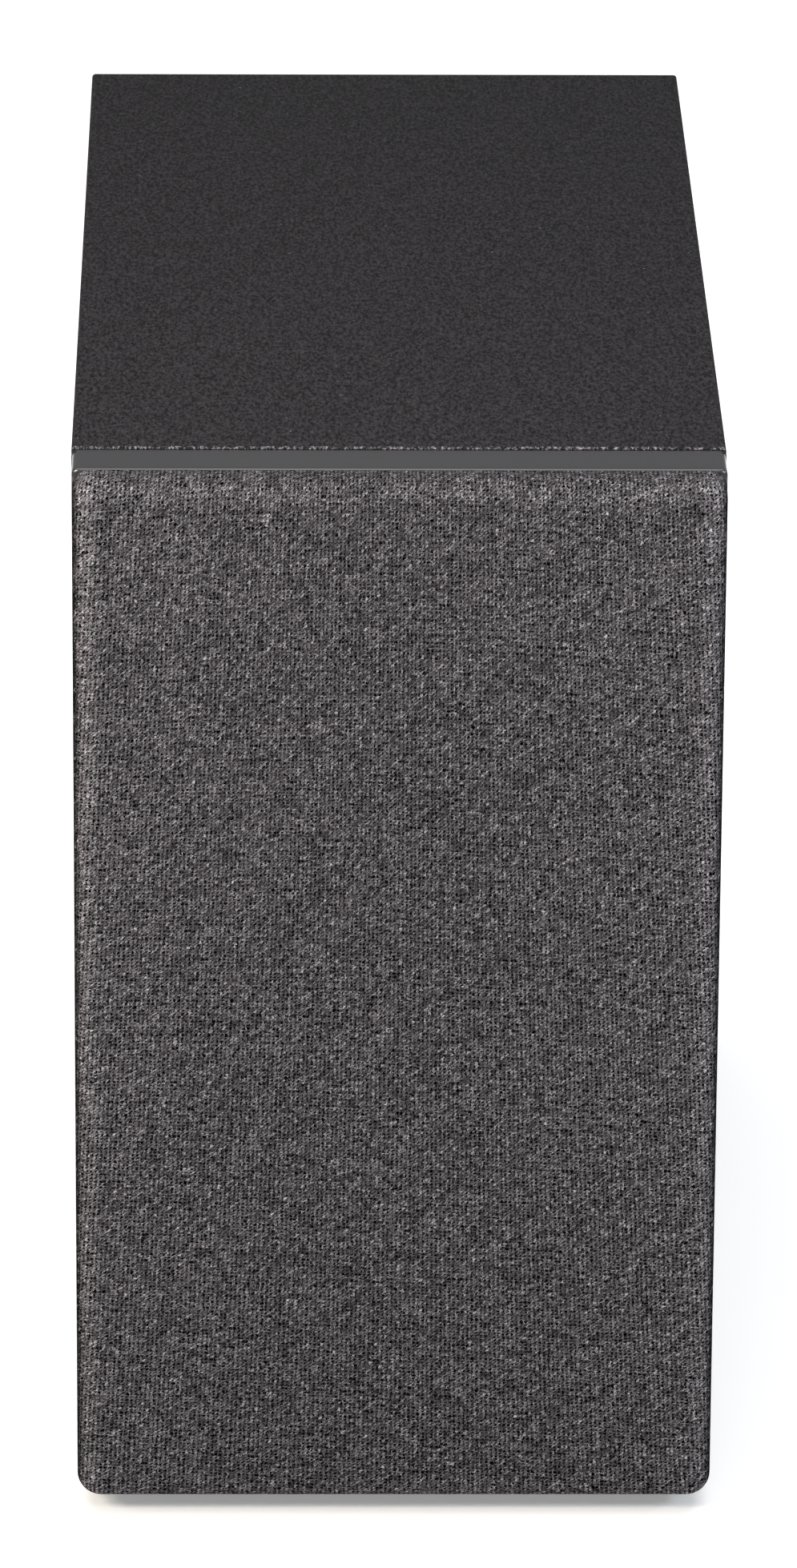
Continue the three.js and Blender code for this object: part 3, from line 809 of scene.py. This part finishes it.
def screw_tree(material):
    """A pan-head screw with a cross recess on each point; the head looks along its own +Z."""
    tree, nodes, size = new_tree("pan_head_screws", {
        "Head Radius": 3 * MM, "Head Height": 2 * MM, "Turn X": 0.0, "Segments": 40,
    })
    radius = size["Head Radius"]
    height = size["Head Height"]
    rim = nodes.geo("MeshCylinder", None, {
        "Vertices": size["Segments"], "Radius": radius, "Depth": height * 0.45})
    rim = moved(nodes, rim, lifted(nodes, height * 0.225))
    crown = nodes.geo("MeshCone", None, {
        "Vertices": size["Segments"], "Radius Bottom": radius, "Radius Top": radius * 0.62,
        "Depth": height * 0.55})
    crown = moved(nodes, crown, lifted(nodes, height * 0.45))
    head = nodes.geo("MeshBoolean", {"operation": "UNION", "solver": "EXACT"})
    nodes.tree.links.new(rim.socket, head.socket.node.inputs[1])
    nodes.tree.links.new(crown.socket, head.socket.node.inputs[1])
    wing_size = nodes.vector(radius * 1.05, radius * 0.24, height)
    wing = nodes.geo("MeshCube", None, {"Size": wing_size})
    wing = moved(nodes, wing, lifted(nodes, height * 1.05))
    cross = joined(nodes, wing, moved(nodes, wing, turn=(0, 0, math.pi / 2)))
    head = nodes.geo("MeshBoolean", {"operation": "DIFFERENCE", "solver": "EXACT"}, {
        0: head, 1: cross})
    shank = nodes.geo("MeshCylinder", None, {
        "Vertices": 16, "Radius": 1.55 * MM, "Depth": 9 * MM})
    shank = moved(nodes, shank, (0, 0, -4.4 * MM))
    turn = nodes.vector(size["Turn X"])
    set_out = set_on_points(nodes, size["Geometry"], joined(nodes, head, shank), turn)
    end_tree(nodes, set_out, material)
    return tree


def ring_tree(name, material):
    """A turned ring on each seat.

    One mesh brings both: the points flagged is_profile are the ring's section, the others the seats.
    """
    tree, nodes, size = new_tree(name, {"Path Radius": 5 * MM, "Segments": 48, "Turn X": 0.0})
    flag = nodes.geo("InputNamedAttribute", {"data_type": "BOOLEAN"}, {"Name": "is_profile"})
    split = nodes.node("GeometryNodeSeparateGeometry", {"domain": "POINT"}, {
        "Geometry": size["Geometry"], "Selection": flag})
    profile_mesh = Value(nodes, split.outputs[0])
    seats = Value(nodes, split.outputs[1])
    profile = nodes.geo("MeshToCurve", None, {"Mesh": profile_mesh})
    path = nodes.geo("CurvePrimitiveCircle", {"mode": "RADIUS"}, {
        "Resolution": size["Segments"], "Radius": size["Path Radius"]})
    body = nodes.geo("CurveToMesh", None, {"Curve": path, "Profile Curve": profile})
    turn = nodes.vector(size["Turn X"])
    end_tree(nodes, set_on_points(nodes, seats, body, turn), material)
    return tree


def ring_seed(name, profile, path_radius, seats):
    """The mesh that ring_tree reads. The profile is (radius, height)."""
    mesh = bpy.data.meshes.new(name)
    points = [(radius - path_radius, height, 0) for radius, height in profile]
    count = len(points)
    edges = [(i, (i + 1) % count) for i in range(count)]
    mesh.from_pydata(points + [tuple(seat) for seat in seats], edges, [])
    flag = mesh.attributes.new("is_profile", "BOOLEAN", "POINT")
    for i in range(len(mesh.vertices)):
        flag.data[i].value = i < count
    return mesh


def sleeve_tree(material):
    """The film sleeve: a flat strip profile carried round a rectangle with round corners."""
    tree, nodes, size = new_tree("film_sleeve", {
        "Width": 0.17, "Height": 0.29, "Length": 0.33, "Corner": 1 * MM, "Thickness": 0.4 * MM,
        "Corner Steps": 6,
    })
    half = size["Thickness"] * 0.5
    path = nodes.geo("CurvePrimitiveQuadrilateral", None, {
        "Width": size["Width"] - size["Thickness"], "Height": size["Height"] - size["Thickness"]})
    path = nodes.geo("FilletCurve", {"mode": "POLY"}, {
        "Curve": path, "Radius": size["Corner"] - half, "Count": size["Corner Steps"]})
    strip = nodes.geo("CurvePrimitiveQuadrilateral", None, {
        "Width": size["Thickness"], "Height": size["Length"]})
    strip = nodes.geo("FilletCurve", {"mode": "POLY"}, {
        "Curve": strip, "Radius": size["Thickness"] * 0.42, "Count": 3})
    body = nodes.geo("CurveToMesh", None, {"Curve": path, "Profile Curve": strip})
    end_tree(nodes, moved(nodes, body, turn=(math.pi / 2, 0, 0)), material)
    return tree


def vent_tree(material):
    """A plate with rows of slots cut through it; the slots stand on the points of a grid."""
    tree, nodes, size = new_tree("vented_plate", {
        "Slot Length": 34 * MM, "Slot Width": 2.6 * MM, "Row Pitch": 6 * MM, "Column Pitch": 44 * MM,
        "Rows": 9, "Columns": 2, "Centre Z": 0.154, "Plane Y": 0.17,
    })
    grid = nodes.geo("MeshGrid", None, {
        "Size X": size["Column Pitch"] * (size["Columns"] - 1),
        "Size Y": size["Row Pitch"] * (size["Rows"] - 1),
        "Vertices X": size["Columns"], "Vertices Y": size["Rows"]})
    outline = nodes.geo("CurvePrimitiveQuadrilateral", None, {
        "Width": size["Slot Length"], "Height": size["Slot Width"]})
    outline = nodes.geo("FilletCurve", {"mode": "POLY"}, {
        "Curve": outline, "Radius": size["Slot Width"] * 0.49, "Count": 5})
    face = nodes.geo("FillCurve", None, {"Curve": outline})
    raised = nodes.node("GeometryNodeExtrudeMesh", None, {
        "Mesh": face, "Offset Scale": 20 * MM, "Individual": False})
    flipped = nodes.geo("FlipFaces", None, {"Mesh": face})
    capped = joined(nodes, Value(nodes, raised.outputs[0]), flipped)
    capped = nodes.geo("MergeByDistance", None, {"Geometry": capped, "Distance": 1e-6})
    capped = moved(nodes, capped, (0, 0, -10 * MM))
    slots = nodes.geo("InstanceOnPoints", None, {"Points": grid, "Instance": capped})
    slots = nodes.geo("RealizeInstances", None, {"Geometry": slots})
    place = nodes.vector(0.0, size["Plane Y"], size["Centre Z"])
    slots = moved(nodes, slots, place, (math.pi / 2, 0, 0))
    plate = nodes.geo("MeshBoolean", {"operation": "DIFFERENCE", "solver": "EXACT"}, {
        0: size["Geometry"], 1: slots})
    end_tree(nodes, plate, material)
    return tree


# ------------------------------------------------------------------ cabinet
def make_wrap(film):
    size = WRAP_HIGH - WRAP_LOW
    seed = points_mesh("film_wrap", [(0, 0, 0)])
    wrap = grown("film_wrap", seed, sleeve_tree(film), {
        "Width": size.x, "Height": size.z, "Length": size.y,
    })
    centre = (WRAP_LOW + WRAP_HIGH) / 2
    wrap.data.transform(Matrix.Translation(centre))
    return done(wrap, "cabinet", ["vinyl_wrap"])


def make_baffle(lacquer):
    low, high = BAFFLE_LOW, BAFFLE_HIGH
    width = high.x - low.x
    height = high.z - low.z
    fillet = 0.9 * MM
    chamfer = 0.15 * MM
    foot_corner = 4.5 * MM
    top_corner = 1.7 * MM
    top_softening = 3.4 * MM
    levels = [(chamfer, high.y, (1.5 * MM, foot_corner))]
    levels += [(0, y, (1.6 * MM, foot_corner)) for y in (high.y - chamfer, low.y + 3 * MM)]
    for step in range(9):
        share = step / 8
        angle = share * math.pi / 2
        inset = fillet * (1 - math.cos(angle))
        y = low.y + fillet * (1 - math.sin(angle))
        levels.append((inset, y, (top_corner + top_softening * share ** 2, foot_corner)))
    middle_z = (low.z + high.z) / 2
    body = slab_piece("baffle_board", (width, height), middle_z, levels, lacquer, 50)
    corner = 0.4 * MM
    front = low.y

    def hole(radius, depth, name, axis, segments=128):
        profile = [(radius + corner, front - 1 * MM), (radius + corner, front)]
        profile += [(radius, front + corner), (radius, front + depth)]
        return turned(name, [(0, front - 1 * MM)] + profile + [(0, front + depth)], axis, lacquer,
                      segments, closed=False)

    tools = [
        hole(71.35 * MM, FLANGE_BACK - front, "recess_tool", WOOFER),
        hole(62.2 * MM, 30 * MM, "woofer_tool", WOOFER),
        hole(33.2 * MM, 2.4 * MM, "port_recess_tool", PORT),
        hole(27 * MM, 30 * MM, "port_tool", PORT),
    ]
    tools += [hole(5.1 * MM, 10.5 * MM, f"socket_tool_{i}", seat, 48) for i, seat in enumerate(SOCKETS)]
    return done(carved(body, tools), "cabinet", ["front_baffle"])


def slab_piece(name, size, middle_z, levels, material, crease=32):
    """A closed slab across Y. Each level is (inset, y, corner radii), from one face to the other."""
    width, height = size
    rings = []
    for inset, y, corners in levels:
        loop = rounded_outline(width - 2 * inset, height - 2 * inset, corners)
        rings.append([(x, y, middle_z + z) for x, z, _, _ in loop])
    points = [point for ring in rings for point in ring]
    return mesh_piece(name, points, strip_faces(len(rings), len(rings[0])), material, crease)


def make_port(plastic):
    front = PORT_LOW.y
    back = PORT_HIGH.y
    bore = 24 * MM
    mouth = 32 * MM
    rim = (PORT_HIGH.x - PORT_LOW.x) / 2
    outer = 26.6 * MM
    flare = mouth - bore
    edge = 0.4 * MM
    flange = front + 2.3 * MM
    profile = [(rim - edge, front), (rim, front + edge), (rim, flange)]
    profile += [(outer, flange), (outer, back), (bore, back)]
    profile += arc((mouth, front + flare), flare, 180, 270, 16)
    port = turned("port_flare", profile, PORT, plastic, 128)
    return done(port, "cabinet", ["port_tube"])


def make_sockets(rubber):
    inner = 3.3 * MM
    outer = 5.0 * MM
    depth = 10.4 * MM
    lip = 0.35 * MM
    path = 4 * MM
    profile = [(inner, 0.6 * MM), (inner + 0.6 * MM, 0), (outer - lip, 0), (outer, lip), (outer, depth)]
    profile += [(0.2 * MM, depth), (0.2 * MM, depth - 1 * MM), (inner, depth - 1 * MM)]
    seats = [(seat.x, BAFFLE_FRONT, seat.z) for seat in SOCKETS]
    mesh = ring_seed("peg_sockets", profile, path, seats)
    tree = ring_tree("peg_socket_rings", rubber)
    sockets = grown("peg_sockets", mesh, tree, {"Path Radius": path, "Turn X": math.pi / 2})
    return done(sockets, "cabinet", SOCKET_NAMES)


def make_feet(rubber):
    height = FEET[0].z * 2
    path = 8 * MM
    profile = [(5 * MM, 2.5 * MM), (5 * MM, 0.4 * MM), (5.4 * MM, 0), (8.7 * MM, 0)]
    profile += arc((8.7 * MM, 0.8 * MM), 0.8 * MM, -90, 0, 4)[1:]
    profile += [(10.2 * MM, height - 1 * MM), (11 * MM, height - 0.3 * MM), (11 * MM, height)]
    profile += [(0.3 * MM, height), (0.3 * MM, 2.5 * MM)]
    mesh = ring_seed("rubber_feet", profile, path, [(foot.x, foot.y, 0) for foot in FEET])
    feet = grown("rubber_feet", mesh, ring_tree("foot_rings", rubber), {
        "Path Radius": path, "Turn X": math.pi,
    })
    return done(feet, "cabinet", FOOT_NAMES)


# ------------------------------------------------------------------ grille cloth
CLOTH_CORNER = 6.4 * MM
RIM_CORNER = 4.6 * MM
CLOTH_FILLET = 4.2 * MM
CLOTH_SWELL = 0.7 * MM
CLOTH_FOOT_RISE = 0.25 * MM
CLOTH_THICKNESS = 0.7 * MM
CLOTH_LAP = 0.3 * MM
WALES_PER_MM = 0.90
COURSES_PER_MM = 1.01
CLOTH_CUTS = (60, 104)
CLOTH_CORNER_STEPS = 12


def stitch_count(x, z):
    """Wales across and courses up at a point of the flat cloth.

    The cloth was pulled wider at its foot, and its courses bow at the sides and run uphill.
    """
    foot_pull = 0.09
    side_pull = 0.043
    sag = 0.035
    foot_slope = 0.065
    top_slope = 0.01
    side_bow = 0.05
    half_width = (CLOTH_HIGH.x - CLOTH_LOW.x) / 2
    half_height = (CLOTH_HIGH.z - CLOTH_LOW.z) / 2
    side = x / half_width
    lift = z / half_height
    upper = (1 + lift) / 2
    wales = x * (WALES_PER_MM + foot_pull * lift) - side_pull * x * side * side * upper
    courses = z * COURSES_PER_MM - sag * half_height * lift * lift
    courses += x * (foot_slope * (1 - upper) + top_slope * upper)
    courses += side_bow * half_width * side * side * upper
    return wales / MM, courses / MM


def cloth_levels():
    """Rings over the frame's edge: (inset, y, corner radii, distance along the cloth).

    The top corners tighten towards the back rim; the bottom ones stay as round as the front.
    """
    front = CLOTH_LOW.y
    back = CLOTH_HIGH.y + CLOTH_LAP
    levels = []
    for step in range(9):
        angle = step / 8 * math.pi / 2
        inset = CLOTH_FILLET * (1 - math.sin(angle))
        depth = CLOTH_FILLET * (1 - math.cos(angle))
        corner = CLOTH_CORNER - inset
        levels.append((inset, front + depth, (corner, corner), CLOTH_FILLET * angle))
    reach = CLOTH_FILLET * math.pi / 2
    turn = 0.3 * MM
    run = back - front - CLOTH_FILLET - turn
    for step in range(1, 4):
        share = step / 3
        corner = CLOTH_CORNER + (RIM_CORNER - CLOTH_CORNER) * share
        levels.append((0, front + CLOTH_FILLET + run * share, (corner, CLOTH_CORNER),
                       reach + run * share))
    reach += run
    for step in range(1, 5):
        angle = step / 4 * math.pi / 2
        inset = turn * (1 - math.cos(angle))
        corners = (RIM_CORNER - inset, CLOTH_CORNER - inset)
        levels.append((inset, back - turn * (1 - math.sin(angle)), corners, reach + turn * angle))
    return levels


def make_cloth(knit):
    """One sheet stretched over the frame: flat front, rounded edge, sides and a turned-in lip."""
    width = CLOTH_HIGH.x - CLOTH_LOW.x + CLOTH_SWELL
    low_z = CLOTH_LOW.z + CLOTH_FOOT_RISE
    high_z = CLOTH_HIGH.z + CLOTH_SWELL / 2
    height = high_z - low_z
    middle_z = (low_z + high_z) / 2
    random.seed(7)
    phases = [random.uniform(0, 2 * math.pi) for _ in range(6)]

    def slack(x, z):
        """How far the cloth sinks between the frame's bars."""
        waves = sum(
            math.sin((k + 1) * 23 * x + phases[k]) * math.cos((k + 2) * 17 * z + phases[k + 3])
            for k in range(3))
        rim = min(width / 2 - abs(x), height / 2 - abs(z))
        eased = min(1, max(0, rim - CLOTH_FILLET) / (18 * MM))
        return (0.10 + 0.05 * waves) * MM * eased

    def ring_at(inset, corners):
        size = (width - 2 * inset, height - 2 * inset)
        return rounded_outline(*size, corners, CLOTH_CUTS, CLOTH_CORNER_STEPS)

    points = []
    stitches = []
    for inset_mm in (80, 70, 60, 50, 42, 35, 29, 24, 20, 16, 13, 10, 8, 6, 5):
        inset = inset_mm * MM
        corner = max(0.4 * MM, CLOTH_CORNER - inset)
        for x, z, _, _ in ring_at(inset, (corner, corner)):
            points.append((x, CLOTH_LOW.y + slack(x, z), middle_z + z))
            stitches.append(stitch_count(x, z))
    for inset, y, corners, reach in cloth_levels():
        for x, z, out_x, out_z in ring_at(inset, corners):
            points.append((x, y, middle_z + z))
            spread = inset - CLOTH_FILLET + reach
            stitches.append(stitch_count(x + out_x * spread, z + out_z * spread))
    count = len(ring_at(0, (CLOTH_CORNER, CLOTH_CORNER)))
    faces = turned_faces(len(points) // count, count, False, True)
    faces.append(tuple(range(count)))
    mesh = bpy.data.meshes.new("grille_knit")
    mesh.from_pydata(points, [], faces)
    layer = mesh.uv_layers.new(name="stitches")
    for loop in mesh.loops:
        layer.data[loop.index].uv = stitches[loop.vertex_index]
    if mesh.polygons[0].normal.y > 0:
        mesh.flip_normals()
    cloth = object_of("grille_knit", mesh, knit)
    wall = cloth.modifiers.new("thickness", "SOLIDIFY")
    wall.thickness = CLOTH_THICKNESS
    wall.offset = -1
    applied(cloth)
    return done(cloth, "grille", ["grille_cloth"])


# ------------------------------------------------------------------ woofer
ROLL_RADIUS = 55.3 * MM
ROLL = 4.6 * MM
SKIN = 0.6 * MM
SECTORS = 24


def make_basket(powder_coat):
    front = FLANGE_FRONT
    seat = FLANGE_BACK
    ledge = seat + 35.5 * MM
    back = seat + 49 * MM
    sheet = 1.5 * MM
    rim = FLANGE_RADIUS
    edge = 0.5 * MM
    throat = 61.5 * MM
    ledge_radius = 48 * MM
    pot = 40 * MM
    pole_hole = 17 * MM
    profile = [(rim - edge, front), (rim, front + edge), (rim, seat), (throat, seat)]
    profile += [(throat, seat + 8 * MM), (ledge_radius, ledge), (pot, ledge), (pot, back)]
    profile += [(pole_hole, back), (pole_hole, back - sheet), (pot - sheet, back - sheet)]
    profile += [(pot - sheet, ledge - sheet), (ledge_radius - 1.2 * MM, ledge - sheet)]
    profile += [(throat - sheet, seat + 7.4 * MM), (throat - sheet, front)]
    basket = turned("basket_pressing", profile, WOOFER, powder_coat, 144)
    tools = []
    for step in range(6):
        angle = math.radians(60 * step + 30)
        window = box_piece(f"window_tool_{step}", (36 * MM, seat + 12 * MM, -15 * MM),
                           (70 * MM, ledge - 4 * MM, 15 * MM), powder_coat)
        window.data.transform(Matrix.Translation((WOOFER.x, 0, WOOFER.z)) @ Matrix.Rotation(angle, 4, "Y"))
        tools.append(window)
    return done(carved(basket, tools), "cabinet", ["woofer_basket"])


def box_piece(name, low, high, material, bevel=0.0):
    xs, ys, zs = zip(low, high)
    points = [(x, y, z) for x in xs for y in ys for z in zs]
    faces = [(0, 1, 3, 2), (4, 6, 7, 5), (0, 4, 5, 1), (2, 3, 7, 6), (0, 2, 6, 4), (1, 5, 7, 3)]
    piece = mesh_piece(name, points, faces, material)
    if bevel:
        edge = piece.modifiers.new("edge", "BEVEL")
        edge.width = bevel
        edge.segments = 3
        applied(piece)
    return piece


def make_gasket(rubber):
    front = GASKET_LOW.y
    back = GASKET_HIGH.y
    outer = (GASKET_HIGH.x - GASKET_LOW.x) / 2
    inner = 60.3 * MM
    edge = 0.5 * MM
    profile = [(inner, back), (inner, front + edge)]
    profile += arc((inner + edge, front + edge), edge, 180, 270, 4)[1:]
    profile += arc((outer - edge, front + edge), edge, 270, 360, 4)
    profile += [(outer, back)]
    ring = turned("trim_ring", profile, WOOFER, rubber, 144)
    return done(ring, "cabinet", ["woofer_gasket"])


def surround_profile():
    """(radius, y) round the section of the half roll, outer lip first."""
    front = FLANGE_FRONT
    lip_front = front - 0.7 * MM
    lip_outer = 62.8 * MM
    lip_inner = 48.4 * MM
    profile = [(lip_outer, lip_front), (lip_outer, front - 0.02 * MM)]
    profile += [(ROLL_RADIUS + ROLL - SKIN, front - 0.02 * MM)]
    profile += arc((ROLL_RADIUS, front), ROLL - SKIN, 0, -180, 14)[1:]
    profile += [(lip_inner, front), (lip_inner, lip_front)]
    profile += arc((ROLL_RADIUS, front), ROLL, 188, 352, 16)
    return profile


def make_surround(rubber):
    """The half roll, made in sectors round the woofer."""
    profile = surround_profile()
    steps = 6
    per_sector = 2 * math.pi / SECTORS
    for sector in range(SECTORS):
        points = []
        for step in range(steps + 1):
            angle = per_sector * (sector + step / steps)
            points += [(radius * math.cos(angle), y, WOOFER.z + radius * math.sin(angle))
                       for radius, y in profile]
        faces = strip_faces(steps + 1, len(profile))
        piece = mesh_piece(f"surround_sector_{sector + 1:02d}", points, faces, rubber, 50)
        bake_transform(piece)
        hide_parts("cone_surround")


def make_cone(pulp):
    front = CONE_LOW.y
    back = CONE_HIGH.y
    outer = (CONE_HIGH.x - CONE_LOW.x) / 2
    neck = 13.4 * MM
    skin = 0.8 * MM
    inner_edge = 48.6 * MM
    face = []
    steps = 40
    for step in range(steps + 1):
        share = step / steps
        radius = inner_edge + (neck - inner_edge) * share
        depth = (back - 1.0 * MM - front) * share ** 0.86
        ripple = 0.22 * MM * math.sin(share * 2 * math.pi * 5) * math.sin(share * math.pi)
        face.append((radius, front + depth + ripple))
    profile = list(reversed(face))
    profile += [(outer, front), (outer, front + 0.7 * MM)]
    profile += [(radius, y + skin) for radius, y in face[2:]]
    cone = turned("cone_paper", profile, WOOFER, pulp, 144, crease=60)
    return done(cone, "cone_assembly", ["woofer_cone"])


def make_dust_cap(pulp):
    seat = CAP_HIGH.y
    lift = CAP_HIGH.y - CAP_LOW.y
    radius = (CAP_HIGH.x - CAP_LOW.x) / 2
    skin = 0.7 * MM
    steps = 20
    outer = []
    for step in range(steps + 1):
        share = math.sin(step / steps * math.pi / 2)
        outer.append((radius * share, seat - lift * math.sqrt(max(0, 1 - share * share))))
    inner = [(r * (1 - skin / radius), y + skin * (1 - (r / radius) ** 4)) for r, y in outer]
    cap = turned("dust_dome", outer + list(reversed(inner)), WOOFER, pulp, 96, closed=False, crease=60)
    return done(cap, "cone_assembly", ["dust_cap"])


def make_screws(black_steel):
    tree = screw_tree(black_steel)
    for name, cad_names, y, turn, height in (
        ("woofer_screws", numbered("woofer_screw", 4), FLANGE_FRONT, math.pi / 2, 1.9 * MM),
        ("plate_screws", numbered("plate_screw", 6), PLATE_HIGH.y, -math.pi / 2, 1.8 * MM),
    ):
        places = [middle(cad_name) for cad_name in cad_names]
        seats = points_mesh(name, [(place.x, y, place.z) for place in places])
        screws = grown(name, seats, tree, {"Turn X": turn, "Head Height": height})
        done(screws, "cabinet", cad_names)


# ------------------------------------------------------------------ amplifier plate
def make_plate(powder_coat):
    size = PLATE_HIGH - PLATE_LOW
    thickness = 1.6 * MM
    back = PLATE_HIGH.y
    front = back - thickness
    edge = 0.35 * MM
    radii = (4 * MM, 4 * MM)
    levels = [(edge, back, radii), (edge * 0.3, back - edge * 0.3, radii)]
    levels += [(0, back - edge, radii), (0, front, radii)]
    centre_z = (PLATE_LOW.z + PLATE_HIGH.z) / 2
    plate = slab_piece("plate_blank", (size.x, size.z), centre_z, levels, powder_coat)
    control_z = middle("pairing_button").z
    inlet = middle("mains_inlet")
    half_width = 13.2 * MM
    half_height = 7.2 * MM
    cutters = [
        box_piece("inlet_tool", (inlet.x - half_width, front - 5 * MM, control_z - half_height),
                  (inlet.x + half_width, back + 5 * MM, control_z + half_height), powder_coat),
        through_hole("button_tool", 4.4 * MM, middle("pairing_button"), front, back, powder_coat),
        through_hole("lens_tool", 2.7 * MM, middle("led_lens"), front, back, powder_coat),
    ]
    carved(plate, cutters)
    mesh = plate.data
    bpy.data.objects.remove(plate)
    slotted = grown("vented_amp_plate", mesh, vent_tree(powder_coat), {
        "Centre Z": control_z + 104 * MM, "Plane Y": back,
    })
    return done(slotted, "cabinet", ["amp_plate"])


def through_hole(name, radius, axis, front, back, material):
    profile = [(0, front - 5 * MM), (radius, front - 5 * MM), (radius, back + 5 * MM), (0, back + 5 * MM)]
    return turned(name, profile, axis, material, 48, closed=False)


def make_inlet(plastic):
    centre = middle("mains_inlet")
    back = INLET_HIGH.y
    flange = 1.4 * MM
    body = box_piece("inlet_body", (centre.x - 13 * MM, INLET_LOW.y, centre.z - 7 * MM),
                     (centre.x + 13 * MM, back - 0.5 * MM, centre.z + 7 * MM), plastic, 0.4 * MM)
    bezel = box_piece("inlet_bezel", (INLET_LOW.x, back - flange, INLET_LOW.z),
                      (INLET_HIGH.x, back, INLET_HIGH.z), plastic, 0.5 * MM)
    carved(body, [bezel], "UNION")
    spread = 4.3 * MM
    bore = 4.1 * MM
    floor = back - 12 * MM
    mouth = 0.4 * MM
    waist = 3.4 * MM
    profile = [(0, floor), (bore, floor), (bore, back - mouth)]
    profile += [(bore + mouth, back + 0.1 * MM), (0, back + 0.1 * MM)]
    tools = []
    for side in (-1, 1):
        axis = Vector((centre.x + side * spread, 0, centre.z))
        tools.append(turned(f"round_tool_{side}", profile, axis, plastic, 64, closed=False))
    tools.append(box_piece("waist_tool", (centre.x - spread, floor, centre.z - waist),
                           (centre.x + spread, back + 1 * MM, centre.z + waist), plastic))
    carved(body, tools)
    body.name = "figure_eight_inlet"
    return done(body, "cabinet", ["mains_inlet"])


def make_button(plastic):
    face = BUTTON_HIGH.y
    radius = 4 * MM
    edge = 0.5 * MM
    dish = 0.25 * MM
    profile = [(0, face - dish), (radius * 0.5, face - dish * 0.7), (radius - edge, face)]
    profile += arc((radius - edge, face - edge), edge, 90, 0, 5)[1:]
    collar = 5.6 * MM
    collar_top = face - 3 * MM
    collar_foot = face - 4.2 * MM
    stem = 2 * MM
    profile += [(radius, collar_top), (collar, collar_top), (collar, collar_foot)]
    profile += [(stem, collar_foot), (stem, BUTTON_LOW.y), (0, BUTTON_LOW.y)]
    button = turned("pairing_cap", profile, middle("pairing_button"), plastic, 64, closed=False)
    return done(button, "button", ["pairing_button"])


def make_lens(guide):
    face = LENS_HIGH.y
    radius = (LENS_HIGH.x - LENS_LOW.x) / 2
    profile = [(0, face)]
    profile += [(radius * math.sin(a), face - 0.8 * MM * (1 - math.cos(a)))
                for a in (math.radians(15 * k) for k in range(1, 7))]
    profile += [(radius, LENS_LOW.y), (0, LENS_LOW.y)]
    lens = turned("light_guide_tip", profile, middle("led_lens"), guide, 48, closed=False)
    return done(lens, "cabinet", ["led_lens"])


# ------------------------------------------------------------------ put together
CAD_LOOKS = {
    "board": ["left_panel", "right_panel", "top_panel", "bottom_panel", "window_brace"],
    "stained": ["rear_panel"],
    "felt": ["left_felt_pad", "right_felt_pad"],
    "plastic": ["grille_frame", "terminal_strip", "tact_switch"],
    "sleeve": ["speaker_lead", "capacitor_1", "capacitor_2"],
    "zinc": ["top_plate", "yoke", "inlet_pin_1", "inlet_pin_2", "wireless_module"],
    "ferrite": ["magnet"],
    "spider": ["spider"],
    "foam": ["amp_gasket"],
    "copper": ["voice_coil", "power_transformer"],
    "aluminium": ["coil_former", "heat_sink"],
    "circuit": ["main_board", "control_board"],
}


def make_looks():
    return {
        "film": film_material(),
        "lacquer": lacquer_material(),
        "knit": knit_material(),
        "plastic": plastic_material("moulded_black_plastic", 0.016, 0.48),
        "sleeve": plastic_material("black_sleeving", 0.022, 0.36, 700),
        "rubber": rubber_material(),
        "powder_coat": powder_coat_material(),
        "zinc": metal_material("zinc_plate", (0.62, 0.64, 0.67, 1), 0.38),
        "steel": metal_material("blackened_steel", (0.07, 0.07, 0.075, 1), 0.42),
        "copper": metal_material("enamelled_copper", (0.60, 0.27, 0.12, 1), 0.36, (1, 9, 1)),
        "aluminium": metal_material("drawn_aluminium", (0.66, 0.67, 0.69, 1), 0.36, (1, 1, 0.1)),
        "ferrite": plastic_material("sintered_ferrite", 0.045, 0.66, 500),
        "board": fibreboard_material(),
        "stained": stained_board_material(),
        "pulp": pulp_material(),
        "felt": felt_material("grey_needle_felt", (0.10, 0.095, 0.09, 1), (0.38, 0.36, 0.33, 1)),
        "spider": felt_material("resined_spider_cloth", (0.30, 0.20, 0.07, 1), (0.62, 0.47, 0.20, 1)),
        "foam": foam_material(),
        "circuit": circuit_material(),
        "guide": light_guide_material(),
    }


MAKERS = [
    (make_wrap, "film"),
    (make_baffle, "lacquer"),
    (make_port, "plastic"),
    (make_sockets, "rubber"),
    (make_feet, "rubber"),
    (make_cloth, "knit"),
    (make_basket, "powder_coat"),
    (make_gasket, "rubber"),
    (make_surround, "rubber"),
    (make_cone, "pulp"),
    (make_dust_cap, "pulp"),
    (make_screws, "steel"),
    (make_plate, "powder_coat"),
    (make_inlet, "plastic"),
    (make_button, "plastic"),
    (make_lens, "guide"),
]


def build_all():
    """The studio, the made pieces, and better materials for the CAD nodes whose shape stays."""
    add_camera()
    add_studio()
    looks = make_looks()
    for make, look in MAKERS:
        make(looks[look])
    for look, names in CAD_LOOKS.items():
        for name in names:
            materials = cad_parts[name].data.materials
            materials.clear()
            materials.append(looks[look])


build_all()
